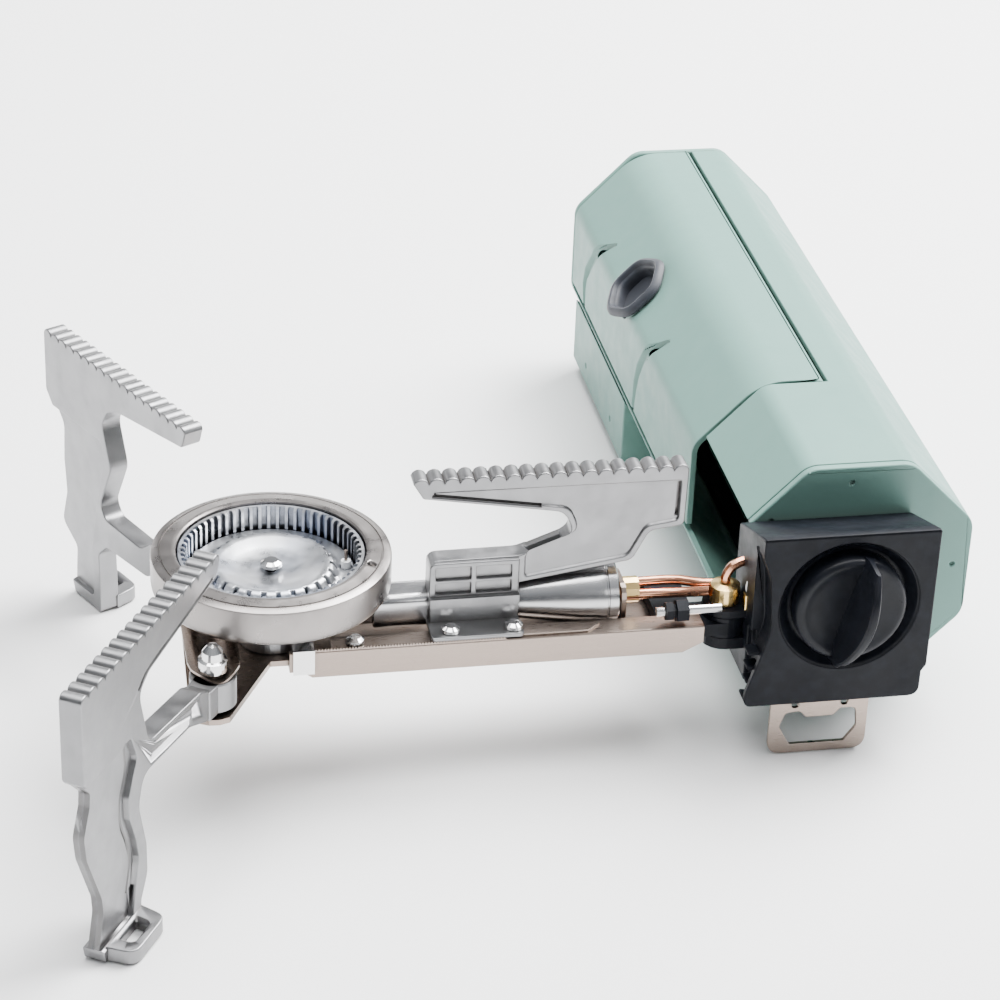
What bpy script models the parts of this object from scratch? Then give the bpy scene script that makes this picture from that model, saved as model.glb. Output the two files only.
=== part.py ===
"""Folding camping stove: octagonal cartridge housing, swinging burner arm, two folding legs.

Sizes are in millimetres and are turned into metres where the meshes are made. The design frame has
its origin on the ground under the burner, +X along the arm to the housing, +Y along the housing
to its back, and +Z up. The root empty then moves the whole stove over the origin.
"""
import bpy
import bmesh
from math import cos, pi, radians, sin, sqrt, tan
from mathutils import Matrix, Vector

MM = 0.001
GAP = 0.3                     # clearance between pieces that touch or fit

# Burner
BURNER_R = 39.0
BURNER_RIM_Z = 76.2
BURNER_WALL_H = 13.7
RIM_W = 6.0                   # flat rim, from the outer wall to the flame ring
FLAME_SLOTS = 40
SLOT_DEPTH = 1.7
PORT_COUNT = 14
CAP_R = 17.0
NECK_R = 11.0
NECK_BORE_R = 7.7
TUBE_Z = 50.4
TUBE_Y = 2.0
TUBE_R = 5.8
TUBE_MOUTH_R = 9.4
TUBE_WALL = 0.9
TUBE_CONE_X = (80.0, 110.0)
TUBE_END_X = 115.0

# Arm
ARM_X = (4.0, 142.0)
ARM_W = 34.0
ARM_Z = (38.7, 45.8)
ARM_SHEET = 1.0
ARM_LIP = 8.5
ARM_FAR_LIP = 3.0
SWING_X, SWING_Y = 151.0, -6.8
SWING_R = 7.5
BRACKET_LUG_T = 2.6
PIN_R = 2.0

# Pot supports and legs
POT_Z = 100.0
SUPPORT_T = 7.4
SUPPORT_IN, SUPPORT_OUT = 45.5, 136.6
RIDGES = 18
RIDGE_H = 1.9
LEG_PIN_R = BURNER_R + 5.0    # distance of each leg pin from the burner's axis
LEG_FRONT_DEG, LEG_BACK_DEG = 238.7, 117.2
KNUCKLE_R = 7.5
KNUCKLE_Z = (43.3, 53.7)
CARRIER_T = 2.0
CARRIER_LOBE_R = 9.0
BLADE_T = 1.0

# Housing
HOUSING_X = 197.2             # centre line of the octagon
HOUSING_W, HOUSING_H = 82.8, 83.3
HOUSING_Z = 9.2               # underside of the octagon
HOUSING_TOP_W, HOUSING_SIDE_H = 35.7, 35.9
HOUSING_Y = (1.3, 270.0)
HOUSING_WALL = 2.2
END_PLATE_T = 3.0
COLLAR_END_Y = 63.0
CORNER_R = 4.0
HINGE_X = 200.0
HINGE_BARREL_R = 1.7
HINGE_PIN_R = 0.7
LID_SIDE_Z = 36.5
ARM_OPENING_TOP_Z = 73.0
GROMMET_Y, GROMMET_R, GROMMET_BORE_R = 178.0, 13.0, 7.5
GROMMET_HOLE_R = 10.0

FOOT_BASE_Y = (168.0, 260.0)   # cradle under the back of the housing
FOOT_BASE_Z = 2.0

# Control box
BOX_X = (160.0, 216.0)
BOX_FACE_X = 153.5            # left edge of the front panel
BOX_Y = -30.0
BOX_Z = (21.0, 85.0)
BOX_BACK_TOP_Z = 74.3
BOX_WALL = 2.2
PANEL_T = 2.0
KNOB_X, KNOB_Z = 187.0, 58.0
KNOB_R = 19.5
RECESS_R, RECESS_DEPTH = KNOB_R + 2.0, 5.0
SHAFT_R = 3.5
FOOT_X = (164.0, 198.0)
FOOT_T = 1.5
FOOT_TOP_Z = 25.0

# Gas side
VALVE_R = 20.0
VALVE_NOSE_R = 12.0
VALVE_LENGTH = 40.0
CARTRIDGE_R = 34.5


def clear_scene():
    for thing in list(bpy.data.objects):
        bpy.data.objects.remove(thing, do_unlink=True)


# ---------------------------------------------------------------- materials

def paint(name, colour, roughness, metallic):
    material = bpy.data.materials.new(name)
    material.use_nodes = True
    shader = material.node_tree.nodes["Principled BSDF"]
    shader.inputs["Base Color"].default_value = (*colour, 1.0)
    shader.inputs["Roughness"].default_value = roughness
    shader.inputs["Metallic"].default_value = metallic
    return material


SAGE = ((0.36, 0.47, 0.41), 0.5, 0.0)
BLACK = ((0.02, 0.02, 0.024), 0.45, 0.0)
RUBBER = ((0.03, 0.03, 0.035), 0.8, 0.0)
STAINLESS = ((0.66, 0.62, 0.58), 0.3, 1.0)
BRIGHT = ((0.8, 0.8, 0.8), 0.15, 1.0)
CAST = ((0.66, 0.66, 0.67), 0.38, 1.0)
COPPER = ((0.72, 0.36, 0.22), 0.25, 1.0)
BRASS = ((0.75, 0.55, 0.25), 0.3, 1.0)
CERAMIC = ((0.85, 0.84, 0.8), 0.4, 0.0)
MAGNET = ((0.2, 0.2, 0.2), 0.5, 1.0)


# ---------------------------------------------------------------- shape helpers

def add_object(name, bm, finish, smooth=True):
    """Turn a bmesh in millimetres into an object in metres with its own material."""
    bmesh.ops.remove_doubles(bm, verts=bm.verts, dist=0.002)
    bmesh.ops.recalc_face_normals(bm, faces=bm.faces)
    bmesh.ops.scale(bm, vec=(MM, MM, MM), verts=bm.verts)
    mesh = bpy.data.meshes.new(name)
    bm.to_mesh(mesh)
    bm.free()
    if smooth:
        mesh.shade_smooth()
        mesh.set_sharp_from_angle(angle=radians(35))
    obj = bpy.data.objects.new(name, mesh)
    bpy.context.collection.objects.link(obj)
    if finish:
        mesh.materials.append(paint(name + "_finish", *finish))
    return obj


def to_plane(plane, a, b, c):
    """Outline point (a, b) and height c, as a point of the design frame."""
    return {"XY": (a, b, c), "XZ": (a, c, b), "YZ": (c, a, b)}[plane]


def prism(name, outline, low, high, plane="XY", finish=None, smooth=True):
    """A closed outline pushed out from low to high across its plane."""
    bm = bmesh.new()
    floor = [bm.verts.new(to_plane(plane, a, b, low)) for a, b in outline]
    face = bm.faces.new(floor)
    made = bmesh.ops.extrude_face_region(bm, geom=[face])["geom"]
    top = [item for item in made if isinstance(item, bmesh.types.BMVert)]
    bmesh.ops.translate(bm, vec=to_plane(plane, 0, 0, high - low), verts=top)
    return add_object(name, bm, finish, smooth)


def block(name, low, high, finish=None):
    outline = [(low[0], low[1]), (high[0], low[1]), (high[0], high[1]), (low[0], high[1])]
    return prism(name, outline, low[2], high[2], "XY", finish, smooth=False)


def turned(name, profile, centre=(0, 0, 0), axis="Z", segments=32, finish=None):
    """Solid of revolution: (radius, height) points, closed round a bore or ending on the axis."""
    bm = bmesh.new()
    on_axis = profile[0][0] == 0 and profile[-1][0] == 0
    rings = []
    for radius, height in profile:
        if radius == 0:
            rings.append([bm.verts.new((0, 0, height))])
            continue
        angles = [2 * pi * i / segments for i in range(segments)]
        rings.append([bm.verts.new((radius * cos(a), radius * sin(a), height)) for a in angles])
    pairs = list(zip(rings, rings[1:])) + ([] if on_axis else [(rings[-1], rings[0])])
    for first, second in pairs:
        for i in range(segments):
            j = (i + 1) % segments
            corners = [first[i % len(first)], first[j % len(first)],
                       second[j % len(second)], second[i % len(second)]]
            corners = list(dict.fromkeys(corners))
            if len(corners) > 2:
                bm.faces.new(corners)
    turn = {"Z": Matrix(), "X": Matrix.Rotation(pi / 2, 4, "Y"), "Y": Matrix.Rotation(-pi / 2, 4, "X")}
    bmesh.ops.transform(bm, matrix=Matrix.Translation(centre) @ turn[axis], verts=bm.verts)
    return add_object(name, bm, finish)


def rod(name, radius, start, end, centre=(0, 0), axis="Z", segments=24, finish=None):
    """Plain round bar; centre holds the two coordinates across the axis."""
    places = {"Z": (centre[0], centre[1], 0), "X": (0, centre[0], centre[1]),
              "Y": (centre[0], 0, centre[1])}
    profile = [(0, start), (radius, start), (radius, end), (0, end)]
    return turned(name, profile, places[axis], axis, segments, finish)


def sleeve(name, outer, bore, start, end, centre=(0, 0), axis="Z", segments=32, finish=None):
    places = {"Z": (centre[0], centre[1], 0), "X": (0, centre[0], centre[1]),
              "Y": (centre[0], 0, centre[1])}
    profile = [(bore, start), (outer, start), (outer, end), (bore, end)]
    return turned(name, profile, places[axis], axis, segments, finish)


def pipe(name, points, radius, finish, sides=2):
    """Round tube or wire along a smooth curve through the points."""
    curve = bpy.data.curves.new(name, "CURVE")
    curve.dimensions = "3D"
    curve.bevel_depth = radius * MM
    curve.bevel_resolution = sides
    curve.use_fill_caps = True
    spline = curve.splines.new("POLY")
    path = smooth_path([Vector(point) for point in points])
    spline.points.add(len(path) - 1)
    for slot, point in zip(spline.points, path):
        slot.co = (*(point * MM), 1.0)
    curve.materials.append(paint(name + "_finish", *finish))
    obj = bpy.data.objects.new(name, curve)
    bpy.context.collection.objects.link(obj)
    return obj


def smooth_path(points, steps=5):
    """Catmull-Rom curve through the points."""
    padded = [2 * points[0] - points[1]] + points + [2 * points[-1] - points[-2]]
    path = []
    for a, b, c, d in zip(padded, padded[1:], padded[2:], padded[3:]):
        for i in range(steps):
            t = i / steps
            path.append(0.5 * (2 * b + (c - a) * t + (2 * a - 5 * b + 4 * c - d) * t ** 2
                               + (3 * b - a - 3 * c + d) * t ** 3))
    return path + [points[-1]]


def boolean(obj, tool, operation):
    step = obj.modifiers.new(tool.name, "BOOLEAN")
    step.object = tool
    step.operation = operation
    tool.hide_render = True
    tool.display_type = "WIRE"
    return obj


def cut(obj, *tools):
    for tool in tools:
        boolean(obj, tool, "DIFFERENCE")
    return obj


def join(obj, *tools):
    for tool in tools:
        boolean(obj, tool, "UNION")
    return obj


def rounded(corners, radius, steps=3):
    """Outline with each corner replaced by an arc; radius may be one number or one per corner."""
    count = len(corners)
    radii = radius if isinstance(radius, (list, tuple)) else [radius] * count
    outline = []
    for i, corner in enumerate(corners):
        here = Vector(corner)
        before = (Vector(corners[i - 1]) - here)
        after = (Vector(corners[(i + 1) % count]) - here)
        if radii[i] <= 0:
            outline.append(tuple(here))
            continue
        half = before.angle(after) / 2
        reach = min(radii[i] / tan(half), before.length * 0.45, after.length * 0.45)
        start = here + before.normalized() * reach
        end = here + after.normalized() * reach
        for k in range(steps + 1):
            t = k / steps
            outline.append(tuple((1 - t) ** 2 * start + 2 * t * (1 - t) * here + t ** 2 * end))
    return outline


def ridges(start, end, count, height):
    """Wavy top edge from start to end: count rounded ridges with narrow valleys."""
    start, end = Vector(start), Vector(end)
    pitch = (end - start) / count
    shape = ((0.0, -1.0), (0.18, -0.25), (0.5, 0.0), (0.82, -0.25))
    points = []
    for i in range(count):
        for share, drop in shape:
            point = start + pitch * (i + share)
            points.append((point.x, point.y + drop * height))
    return points + [(end.x, end.y - height)]


# ---------------------------------------------------------------- joints' empties

def empty(name, place):
    guide = bpy.data.objects.new(name, None)
    guide.location = Vector(place) * MM
    bpy.context.collection.objects.link(guide)
    return guide


def attach(parent, *children):
    """Parent without moving: the parents here are only ever shifted, never turned."""
    for child in children:
        child.parent = parent
        child.matrix_parent_inverse = Matrix.Translation(-world_place(parent))


def world_place(guide):
    place = Vector(guide.location)
    if guide.parent:
        place = place + guide.matrix_parent_inverse.translation + world_place(guide.parent)
    return place


# ---------------------------------------------------------------- burner

def make_burner():
    """Cup, slotted flame ring, cap, neck and igniter of the burner."""
    wall_z = BURNER_RIM_Z - BURNER_WALL_H
    inner_r = BURNER_R - RIM_W
    seat_z = wall_z + 3.4
    neck_top = wall_z - 5.5
    profile = [(NECK_BORE_R + GAP, neck_top + GAP), (14, neck_top + GAP), (22, wall_z - 2),
               (34, wall_z - 1), (37.5, wall_z + 0.3), (BURNER_R, wall_z + 2.5),
               (BURNER_R, BURNER_RIM_Z - 0.8), (BURNER_R - 0.8, BURNER_RIM_Z),
               (inner_r + 0.3, BURNER_RIM_Z), (inner_r, BURNER_RIM_Z - 0.3), (inner_r, seat_z),
               (inner_r - 7, seat_z), (inner_r - 9, wall_z + 1), (12, wall_z - 1.3),
               (NECK_BORE_R + GAP, wall_z - 1.3)]
    cup = turned("burner_cup", profile, segments=56, finish=CAST)
    ring = flame_ring(inner_r - GAP, seat_z + GAP, BURNER_RIM_Z - 1.2)
    cap_r = inner_r - GAP - 4.2 - GAP
    cap_z = seat_z + GAP
    cap = turned("burner_cap", [(1.9, cap_z), (cap_r, cap_z), (cap_r, cap_z + 1.2),
                                (CAP_R + 2.5, cap_z + 1.4), (CAP_R, cap_z + 5), (CAP_R - 2, cap_z + 5.6),
                                (8, cap_z + 4.6), (5, cap_z + 3.2), (1.9, cap_z + 3.2)],
                 segments=48, finish=CAST)
    for i in range(PORT_COUNT):
        angle = 2 * pi * (i + 0.5) / PORT_COUNT
        port = block("port_cutter_%02d" % i, (CAP_R - 1.2, -0.9, cap_z + 2.6), (CAP_R + 4, 0.9, cap_z + 9))
        port.rotation_euler.z = angle
        cut(cap, port)
        attach_to_root.append(port)
    spider = turned("cap_post", [(0, neck_top - 4), (1.6, neck_top - 4), (1.6, cap_z + 3.2 + GAP),
                                 (3.6, cap_z + 3.2 + GAP), (3.4, cap_z + 4.6), (2.2, cap_z + 5.4),
                                 (0, cap_z + 5.4)], segments=20, finish=BRIGHT)
    neck_z = ARM_Z[0] + ARM_SHEET + GAP + CARRIER_T + GAP
    neck = turned("burner_neck", [(0, neck_z), (NECK_R, neck_z), (NECK_R, neck_top - 3.4),
                                  (NECK_R + 2, neck_top - 3), (NECK_R + 2, neck_top),
                                  (NECK_BORE_R, neck_top), (NECK_BORE_R, neck_z + 1.6),
                                  (0, neck_z + 1.6)], segments=40, finish=CAST)
    hole = rod("tube_socket_cutter", TUBE_R + GAP, 0, NECK_R + 6, (TUBE_Y, TUBE_Z), "X", 24)
    bridge = block("neck_bridge", (-NECK_BORE_R - 1.5, -2.4, neck_top - 7), (NECK_BORE_R + 1.5, 2.4, neck_top - 4.4))
    cut(join(neck, bridge), hole)
    spider_socket = rod("post_socket_cutter", 1.6 + GAP, neck_top - 5.5, neck_top + 1, segments=16)
    cut(neck, spider_socket)
    attach_to_root.extend([hole, bridge, spider_socket])

    tip_x = inner_r - 8.6
    ceramic = rod("igniter_ceramic", 1.6, TUBE_Z + TUBE_R + 2 * GAP, cap_z + 3.4, (tip_x, 0), segments=16, finish=CERAMIC)
    electrode = rod("igniter_electrode", 0.6, cap_z + 3.4 + GAP, cap_z + 7.2, (tip_x, 0), segments=10,
                    finish=STAINLESS)
    through = rod("igniter_hole_cutter", 1.6 + GAP, wall_z - 6, cap_z + 3, (tip_x, 0), segments=16)
    cut(cup, through)
    cut(cap, through)
    attach_to_root.append(through)
    return [cup, ring, cap, spider, neck, ceramic, electrode]


def flame_ring(outer, low, high):
    """Ring with upright slots round its inner wall."""
    bm = bmesh.new()
    steps = FLAME_SLOTS * 4
    inner = outer - 4.2
    layers = []
    for z in (low, high):
        circles = []
        for wide in (True, False):
            circle = []
            for i in range(steps):
                angle = 2 * pi * (i + (0.15 if i % 4 in (0, 2) else -0.15)) / steps
                in_slot = i % 4 in (2, 3)
                radius = outer if wide else inner + (SLOT_DEPTH if in_slot else 0)
                circle.append(bm.verts.new((radius * cos(angle), radius * sin(angle), z)))
            circles.append(circle)
        layers.append(circles)
    (low_out, low_in), (high_out, high_in) = layers
    for i in range(steps):
        j = (i + 1) % steps
        for a, b in ((low_out, high_out), (high_out, high_in), (high_in, low_in), (low_in, low_out)):
            bm.faces.new((a[i], a[j], b[j], b[i]))
    return add_object("flame_ring", bm, STAINLESS)


# ---------------------------------------------------------------- arm

def make_arm():
    """Channel, carrier plate, mixing tube, jet, pipes and lock of the burner arm."""
    half = ARM_W / 2
    low, high = ARM_Z
    t = ARM_SHEET
    lip = half - ARM_LIP
    far_lip = half - ARM_FAR_LIP
    outline = [(-lip, high - t), (-half + t, high - t), (-half + t, low + t), (half - t, low + t),
               (half - t, high - t), (far_lip, high - t), (far_lip, high), (half, high), (half, low),
               (-half, low), (-half, high), (-lip, high)]
    channel = prism("arm_channel", outline, ARM_X[0], ARM_X[1], "YZ", STAINLESS, smooth=False)
    relief = block("neck_relief_cutter", (ARM_X[0] - 1, -half + t + 1, high - t - 1), (18, half - t - 1, high + 1))
    cut(channel, relief)
    attach_to_root.append(relief)

    floor = low + t
    pins = leg_pins()
    carrier_z = floor + GAP
    lobes = []
    for (x, y), sign in zip(pins, (-1, 1)):
        turn = [radians(sign * (60 + 22 * k)) for k in range(8)]
        arc = [(x + CARRIER_LOBE_R * cos(a), y + CARRIER_LOBE_R * sin(a)) for a in turn]
        lobes.append(arc)
    waist = half - t - 1.2
    outline = ([(22, -waist), (-2, -waist)] + lobes[0] + lobes[1][::-1] + [(-2, waist), (22, waist)])
    carrier = prism("leg_carrier", outline, carrier_z, carrier_z + CARRIER_T, "XY", STAINLESS, smooth=False)

    tube_outer = [(TUBE_R, NECK_R - 1.0), (TUBE_R, TUBE_CONE_X[0]), (TUBE_MOUTH_R, TUBE_CONE_X[1]),
                  (TUBE_MOUTH_R, TUBE_END_X)]
    tube_inner = [(r - TUBE_WALL, x) for r, x in reversed(tube_outer)]
    tube = turned("mixing_tube", tube_outer + tube_inner, (0, TUBE_Y, TUBE_Z), "X", 36, BRIGHT)
    collar = sleeve("air_shutter", TUBE_MOUTH_R + GAP + 0.6, TUBE_MOUTH_R + GAP, TUBE_END_X - 3.4,
                    TUBE_END_X + 0.6, (TUBE_Y, TUBE_Z), "X", 36, BRIGHT)
    jet_x = TUBE_END_X - 3
    jet = turned("gas_jet", [(0, jet_x), (1.4, jet_x), (2.6, jet_x + 3), (2.6, jet_x + 6), (4.4, jet_x + 6),
                             (4.4, jet_x + 11), (0, jet_x + 11)], (0, TUBE_Y, TUBE_Z), "X", 12, BRASS)
    holder_x = jet_x + 6 - GAP
    holder = prism("jet_holder", rounded([(TUBE_Y - 8, floor + GAP), (TUBE_Y + 8, floor + GAP),
                                          (TUBE_Y + 8, TUBE_Z + 5), (TUBE_Y - 8, TUBE_Z + 5)], [0, 0, 4, 4]),
                   holder_x - 1.6, holder_x, "YZ", STAINLESS)
    jet_hole = rod("jet_hole_cutter", 2.6 + GAP, holder_x - 3, holder_x + 1, (TUBE_Y, TUBE_Z), "X", 16)
    cut(holder, jet_hole)
    attach_to_root.append(jet_hole)

    block_top = TUBE_Z + 5.0
    start = jet_x + 11 + GAP
    feed = pipe("gas_pipe", [(start, TUBE_Y, TUBE_Z), (start + 8, TUBE_Y, TUBE_Z), (136, 0.5, TUBE_Z + 0.6),
                             (SWING_X - 5.9, SWING_Y + 0.6, TUBE_Z + 2.6)], 1.7, COPPER)
    preheat = pipe("preheat_pipe", [(TUBE_END_X + 3.4, TUBE_Y + 6.4, TUBE_Z - 4.6), (126, TUBE_Y + 6.2, TUBE_Z - 3.4),
                                    (133, 6.4, TUBE_Z + 1.4), (141, 4.6, TUBE_Z + 3),
                                    (SWING_X - 1.0, SWING_Y + 6.1, TUBE_Z + 2.6)], 1.6, COPPER)
    union_z = high + 2 * GAP + BRACKET_LUG_T + GAP
    union = turned("swivel_block", [(0, union_z), (5, union_z), (5, block_top), (2.6, block_top + 0.8),
                                    (0, block_top + 0.8)], (SWING_X, SWING_Y, 0), "Z", 20, BRASS)

    lug_z = (low, high + GAP)
    end_outline = [(ARM_X[1] - 14, -half + t + GAP), (ARM_X[1] - 14, half - t - GAP),
                   (ARM_X[1] - 1, half - t - GAP), (ARM_X[1] - 1, 2 + SWING_Y), (ARM_X[1] - 1, -half + t + GAP)]
    tongue = prism("arm_end_block", end_outline, floor + GAP, high - t - GAP, "XY", BLACK)
    nose = [(ARM_X[1] - 3, SWING_Y - SWING_R)]
    nose += [(SWING_X + SWING_R * cos(a), SWING_Y + SWING_R * sin(a))
             for a in [radians(-90 + 20 * k) for k in range(10)]]
    nose += [(ARM_X[1] - 3, SWING_Y + SWING_R)]
    lug = prism("lug_body", nose, floor + GAP, high - t - GAP, "XY")
    lug_drop = rod("lug_barrel", SWING_R, lug_z[0], lug_z[1], (SWING_X, SWING_Y), segments=24)
    pin_hole = rod("swing_pin_cutter", PIN_R + GAP, low - 5, high + 8, (SWING_X, SWING_Y), segments=20)
    cut(join(tongue, lug, lug_drop), pin_hole)
    attach_to_root.extend([lug, lug_drop, pin_hole])

    lock_y, lock_z = SWING_Y - 7.4, high + GAP + 4.6
    bolt = turned("lock_bolt", [(1.5 + GAP, 129), (3.3, 129), (3.3, 131.5), (2.5, 131.7), (2.5, 132.3),
                                (4.0, 132.5), (4.0, 136.5), (1.5 + GAP, 136.5)], (0, lock_y + 0.2, lock_z),
                  "X", 6, BLACK)
    bar = rod("lock_rod", 1.5, 126, 148, (lock_y + 0.2, lock_z), "X", 12, BRIGHT)

    clip = prism("channel_clip", [(-half - 0.3, low - 0.3), (-half - 1.5, low - 0.3), (-half - 1.5, high + 1.5),
                                  (-half + 5, high + 1.5), (-half + 5, high + 0.3), (-half - 0.3, high + 0.3)],
                 ARM_X[0] + 1, ARM_X[0] + 8, "YZ", BRIGHT, smooth=False)
    screw_holes = []
    screws = []
    for index, x in enumerate((26.0, 57.5, 78.5)):
        base = high + GAP if index == 0 else high + GAP + 1.5 + GAP
        screws.append(dome_screw("channel_screw_%d" % (index + 1), x, -half + ARM_LIP * 0.56, base))
        screw_holes.append(rod("lip_hole_cutter_%d" % (index + 1), 1.4 + GAP, low + 3, high + 6,
                               (x, -half + ARM_LIP * 0.56), segments=14))
    cut(channel, *screw_holes)
    attach_to_root.extend(screw_holes)
    return [channel, carrier, tube, collar, jet, holder, feed, preheat, union, tongue, bolt, bar,
            clip] + screws, screw_holes[1:]


def dome_screw(name, x, y, base):
    return turned(name, [(0, base - 4.8), (1.4, base - 4.8), (1.4, base), (3.3, base), (3.0, base + 1.0),
                         (1.8, base + 1.8), (0, base + 2.0)], (x, y, 0), "Z", 20, BRIGHT)


def leg_pins():
    return [(LEG_PIN_R * cos(radians(a)), LEG_PIN_R * sin(radians(a))) for a in (LEG_FRONT_DEG, LEG_BACK_DEG)]


# ---------------------------------------------------------------- fixed pot support

def make_right_support(screw_holes):
    """Pot support that is screwed to the arm."""
    half = SUPPORT_T / 2
    top = ridges((SUPPORT_IN, POT_Z), (SUPPORT_OUT, POT_Z), RIDGES, RIDGE_H)
    under = rounded([(136.0, 77.3), (124.6, 75.8), (119.2, 65.1), (81.0, 58.2)], [2, 3, 3, 0])
    base = [(81.0, 56.8), (51.5, 56.8)]
    mouth = rounded([(51.5, 69.2), (81.0, 69.4), (99.5, 76.6), (95.6, 84.8), (49.3, 92.4)], [2, 6, 5, 5, 1.5], 4)
    body = prism("right_support", top + under + base + mouth, -half, half, "XZ", CAST)
    wall_y = TUBE_Y - TUBE_R - GAP
    flange_z = ARM_Z[1] + GAP
    foot = prism("support_foot", [(-ARM_W / 2 + 0.6, flange_z), (wall_y - 0.2, flange_z), (wall_y - 0.2, 56.8),
                                  (half, 56.8), (half, 69.0), (wall_y - 2.6, 69.0), (wall_y - 2.6, flange_z + 1.5),
                                  (-ARM_W / 2 + 0.6, flange_z + 1.5)], 51.6, 80.9, "YZ")
    join(body, foot)
    attach_to_root.append(foot)
    for column in range(2):
        for row, (low, high) in enumerate(((57.6, 61.6), (62.8, 67.2))):
            x = 53.6 + column * 13.4
            pocket = block("pocket_cutter_%d%d" % (column, row), (x, wall_y - 4, low), (x + 11.6, wall_y + 0.6, high))
            cut(body, pocket)
            attach_to_root.append(pocket)
    groove = prism("groove_cutter", [(50.5, 94.4), (86, 88.6), (86, 87.6), (50.5, 93.2)], -half - 1, -half + 0.9, "XZ")
    cut(body, groove, *screw_holes)
    attach_to_root.append(groove)
    return body


# ---------------------------------------------------------------- folding legs

def leg_body(name, outline, web, angle_deg, knuckle_reach):
    """One cast leg: pot support, knuckle, leg and foot. Its origin is on its pin's axis."""
    half = SUPPORT_T / 2
    shift = [(r - LEG_PIN_R, z) for r, z in outline]
    body = prism(name, shift, -half, half, "XZ", CAST)
    knuckle = rod(name + "_knuckle", KNUCKLE_R, KNUCKLE_Z[0], KNUCKLE_Z[1], segments=28)
    neck = block(name + "_neck", (0, -half - 0.8, KNUCKLE_Z[0]), (knuckle_reach, half + 0.8, KNUCKLE_Z[1]))
    pin_hole = rod(name + "_pin_cutter", PIN_R + 1 + GAP, KNUCKLE_Z[0] - 2, KNUCKLE_Z[1] + 2, segments=20)
    toe_low, toe_high = 58.5, 82.0
    face = 1 if angle_deg > 180 else -1     # each leg's foot and web are on its right-hand side
    toe = prism(name + "_toe", rounded([(toe_low, face * half), (toe_high, face * half),
                                        (toe_high - 2, face * (half + 9)), (toe_low + 3, face * (half + 9))],
                                       [0, 0, 3, 3]), 0, 4.2, "XY")
    slot_run = sorted((face * (half + 6), face * (half + 1.2)))
    slot = block(name + "_toe_cutter", (toe_low + 6, slot_run[0], -1), (toe_high - 6, slot_run[1], 6))
    web_run = sorted((face * (half + 1), face * (half - 2.2)))
    recess = prism(name + "_web_cutter", [(r - LEG_PIN_R, z) for r, z in web], *web_run, "XZ")
    cut(join(body, neck, knuckle, toe), pin_hole, slot, recess)
    pin_place = (LEG_PIN_R * cos(radians(angle_deg)), LEG_PIN_R * sin(radians(angle_deg)), 0)
    for piece in (body, knuckle, neck, pin_hole, toe, slot, recess):
        piece.rotation_euler.z = radians(angle_deg)
        piece.location = Vector(pin_place) * MM
    attach_to_root.extend([knuckle, neck, pin_hole, toe, slot, recess])
    return body


def make_legs():
    root = LEG_PIN_R + 8                    # where each leg's bar meets its knuckle
    top = ridges((SUPPORT_IN, POT_Z), (SUPPORT_OUT, POT_Z), RIDGES, RIDGE_H)
    front = top + rounded([(SUPPORT_OUT, 70.5), (130, 63.5), (130.5, 58.7), (134.6, 50.0), (133.4, 41.5),
                           (125.0, 22.1), (124.3, 16.3), (128.0, 4.0), (127.0, 0.0), (103.0, 0.0),
                           (103.0, 7.1), (98.3, 15.0), (98.6, 26.0), (103.0, 42.0), (99.5, 51.3),
                           (68.2, 49.0), (root + 4, KNUCKLE_Z[0] + 0.5), (root, KNUCKLE_Z[0] + 0.5),
                           (root, KNUCKLE_Z[1] - 0.5), (root + 8, 57.0), (95.3, 60.5), (100.9, 81.0),
                           (94.0, 85.2), (47.5, 92.6)],
                          [2, 1, 2, 4, 5, 3, 3, 2, 1, 1, 3, 4, 5, 5, 4, 6, 2, 0, 0, 3, 3, 4, 4, 1.5])
    web_front = rounded([(107.3, 57.4), (127.0, 57.4), (131.0, 49.0), (121.5, 22.0), (121.5, 14.0),
                         (110.0, 12.0), (104.6, 21.0), (109.6, 44.0)], 3)
    back = top + rounded([(SUPPORT_OUT, 76.0), (127.6, 65.3), (128.4, 50.8), (127.2, 38.0), (131.0, 25.0),
                          (121.4, 18.5), (122.6, 4.0), (121.0, 0.0), (103.0, 0.0), (103.5, 24.0),
                          (98.0, 29.4), (71.2, 30.6), (root + 4, KNUCKLE_Z[0] + 0.5), (root, KNUCKLE_Z[0] + 0.5),
                          (root, KNUCKLE_Z[1] - 0.5), (root + 6, KNUCKLE_Z[1] - 0.5), (75.0, 40.3), (98.4, 40.6),
                          (101.5, 45.5), (93.6, 62.5), (98.9, 78.6), (95.0, 84.2), (88.0, 87.4), (47.5, 92.2)],
                         [2, 4, 4, 4, 3, 2, 1, 1, 1, 3, 4, 4, 2, 0, 0, 2, 4, 4, 3, 5, 4, 3, 3, 1.5])
    web_back = rounded([(104.0, 58.0), (123.0, 58.0), (124.0, 44.0), (123.0, 34.0), (119.0, 22.0),
                        (108.0, 22.0), (108.0, 44.0)], 3)
    leg_front = leg_body("leg_front", front, web_front, LEG_FRONT_DEG, 9.5)
    leg_back = leg_body("leg_back", back, web_back, LEG_BACK_DEG, 9.5)
    return leg_front, leg_back


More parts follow.
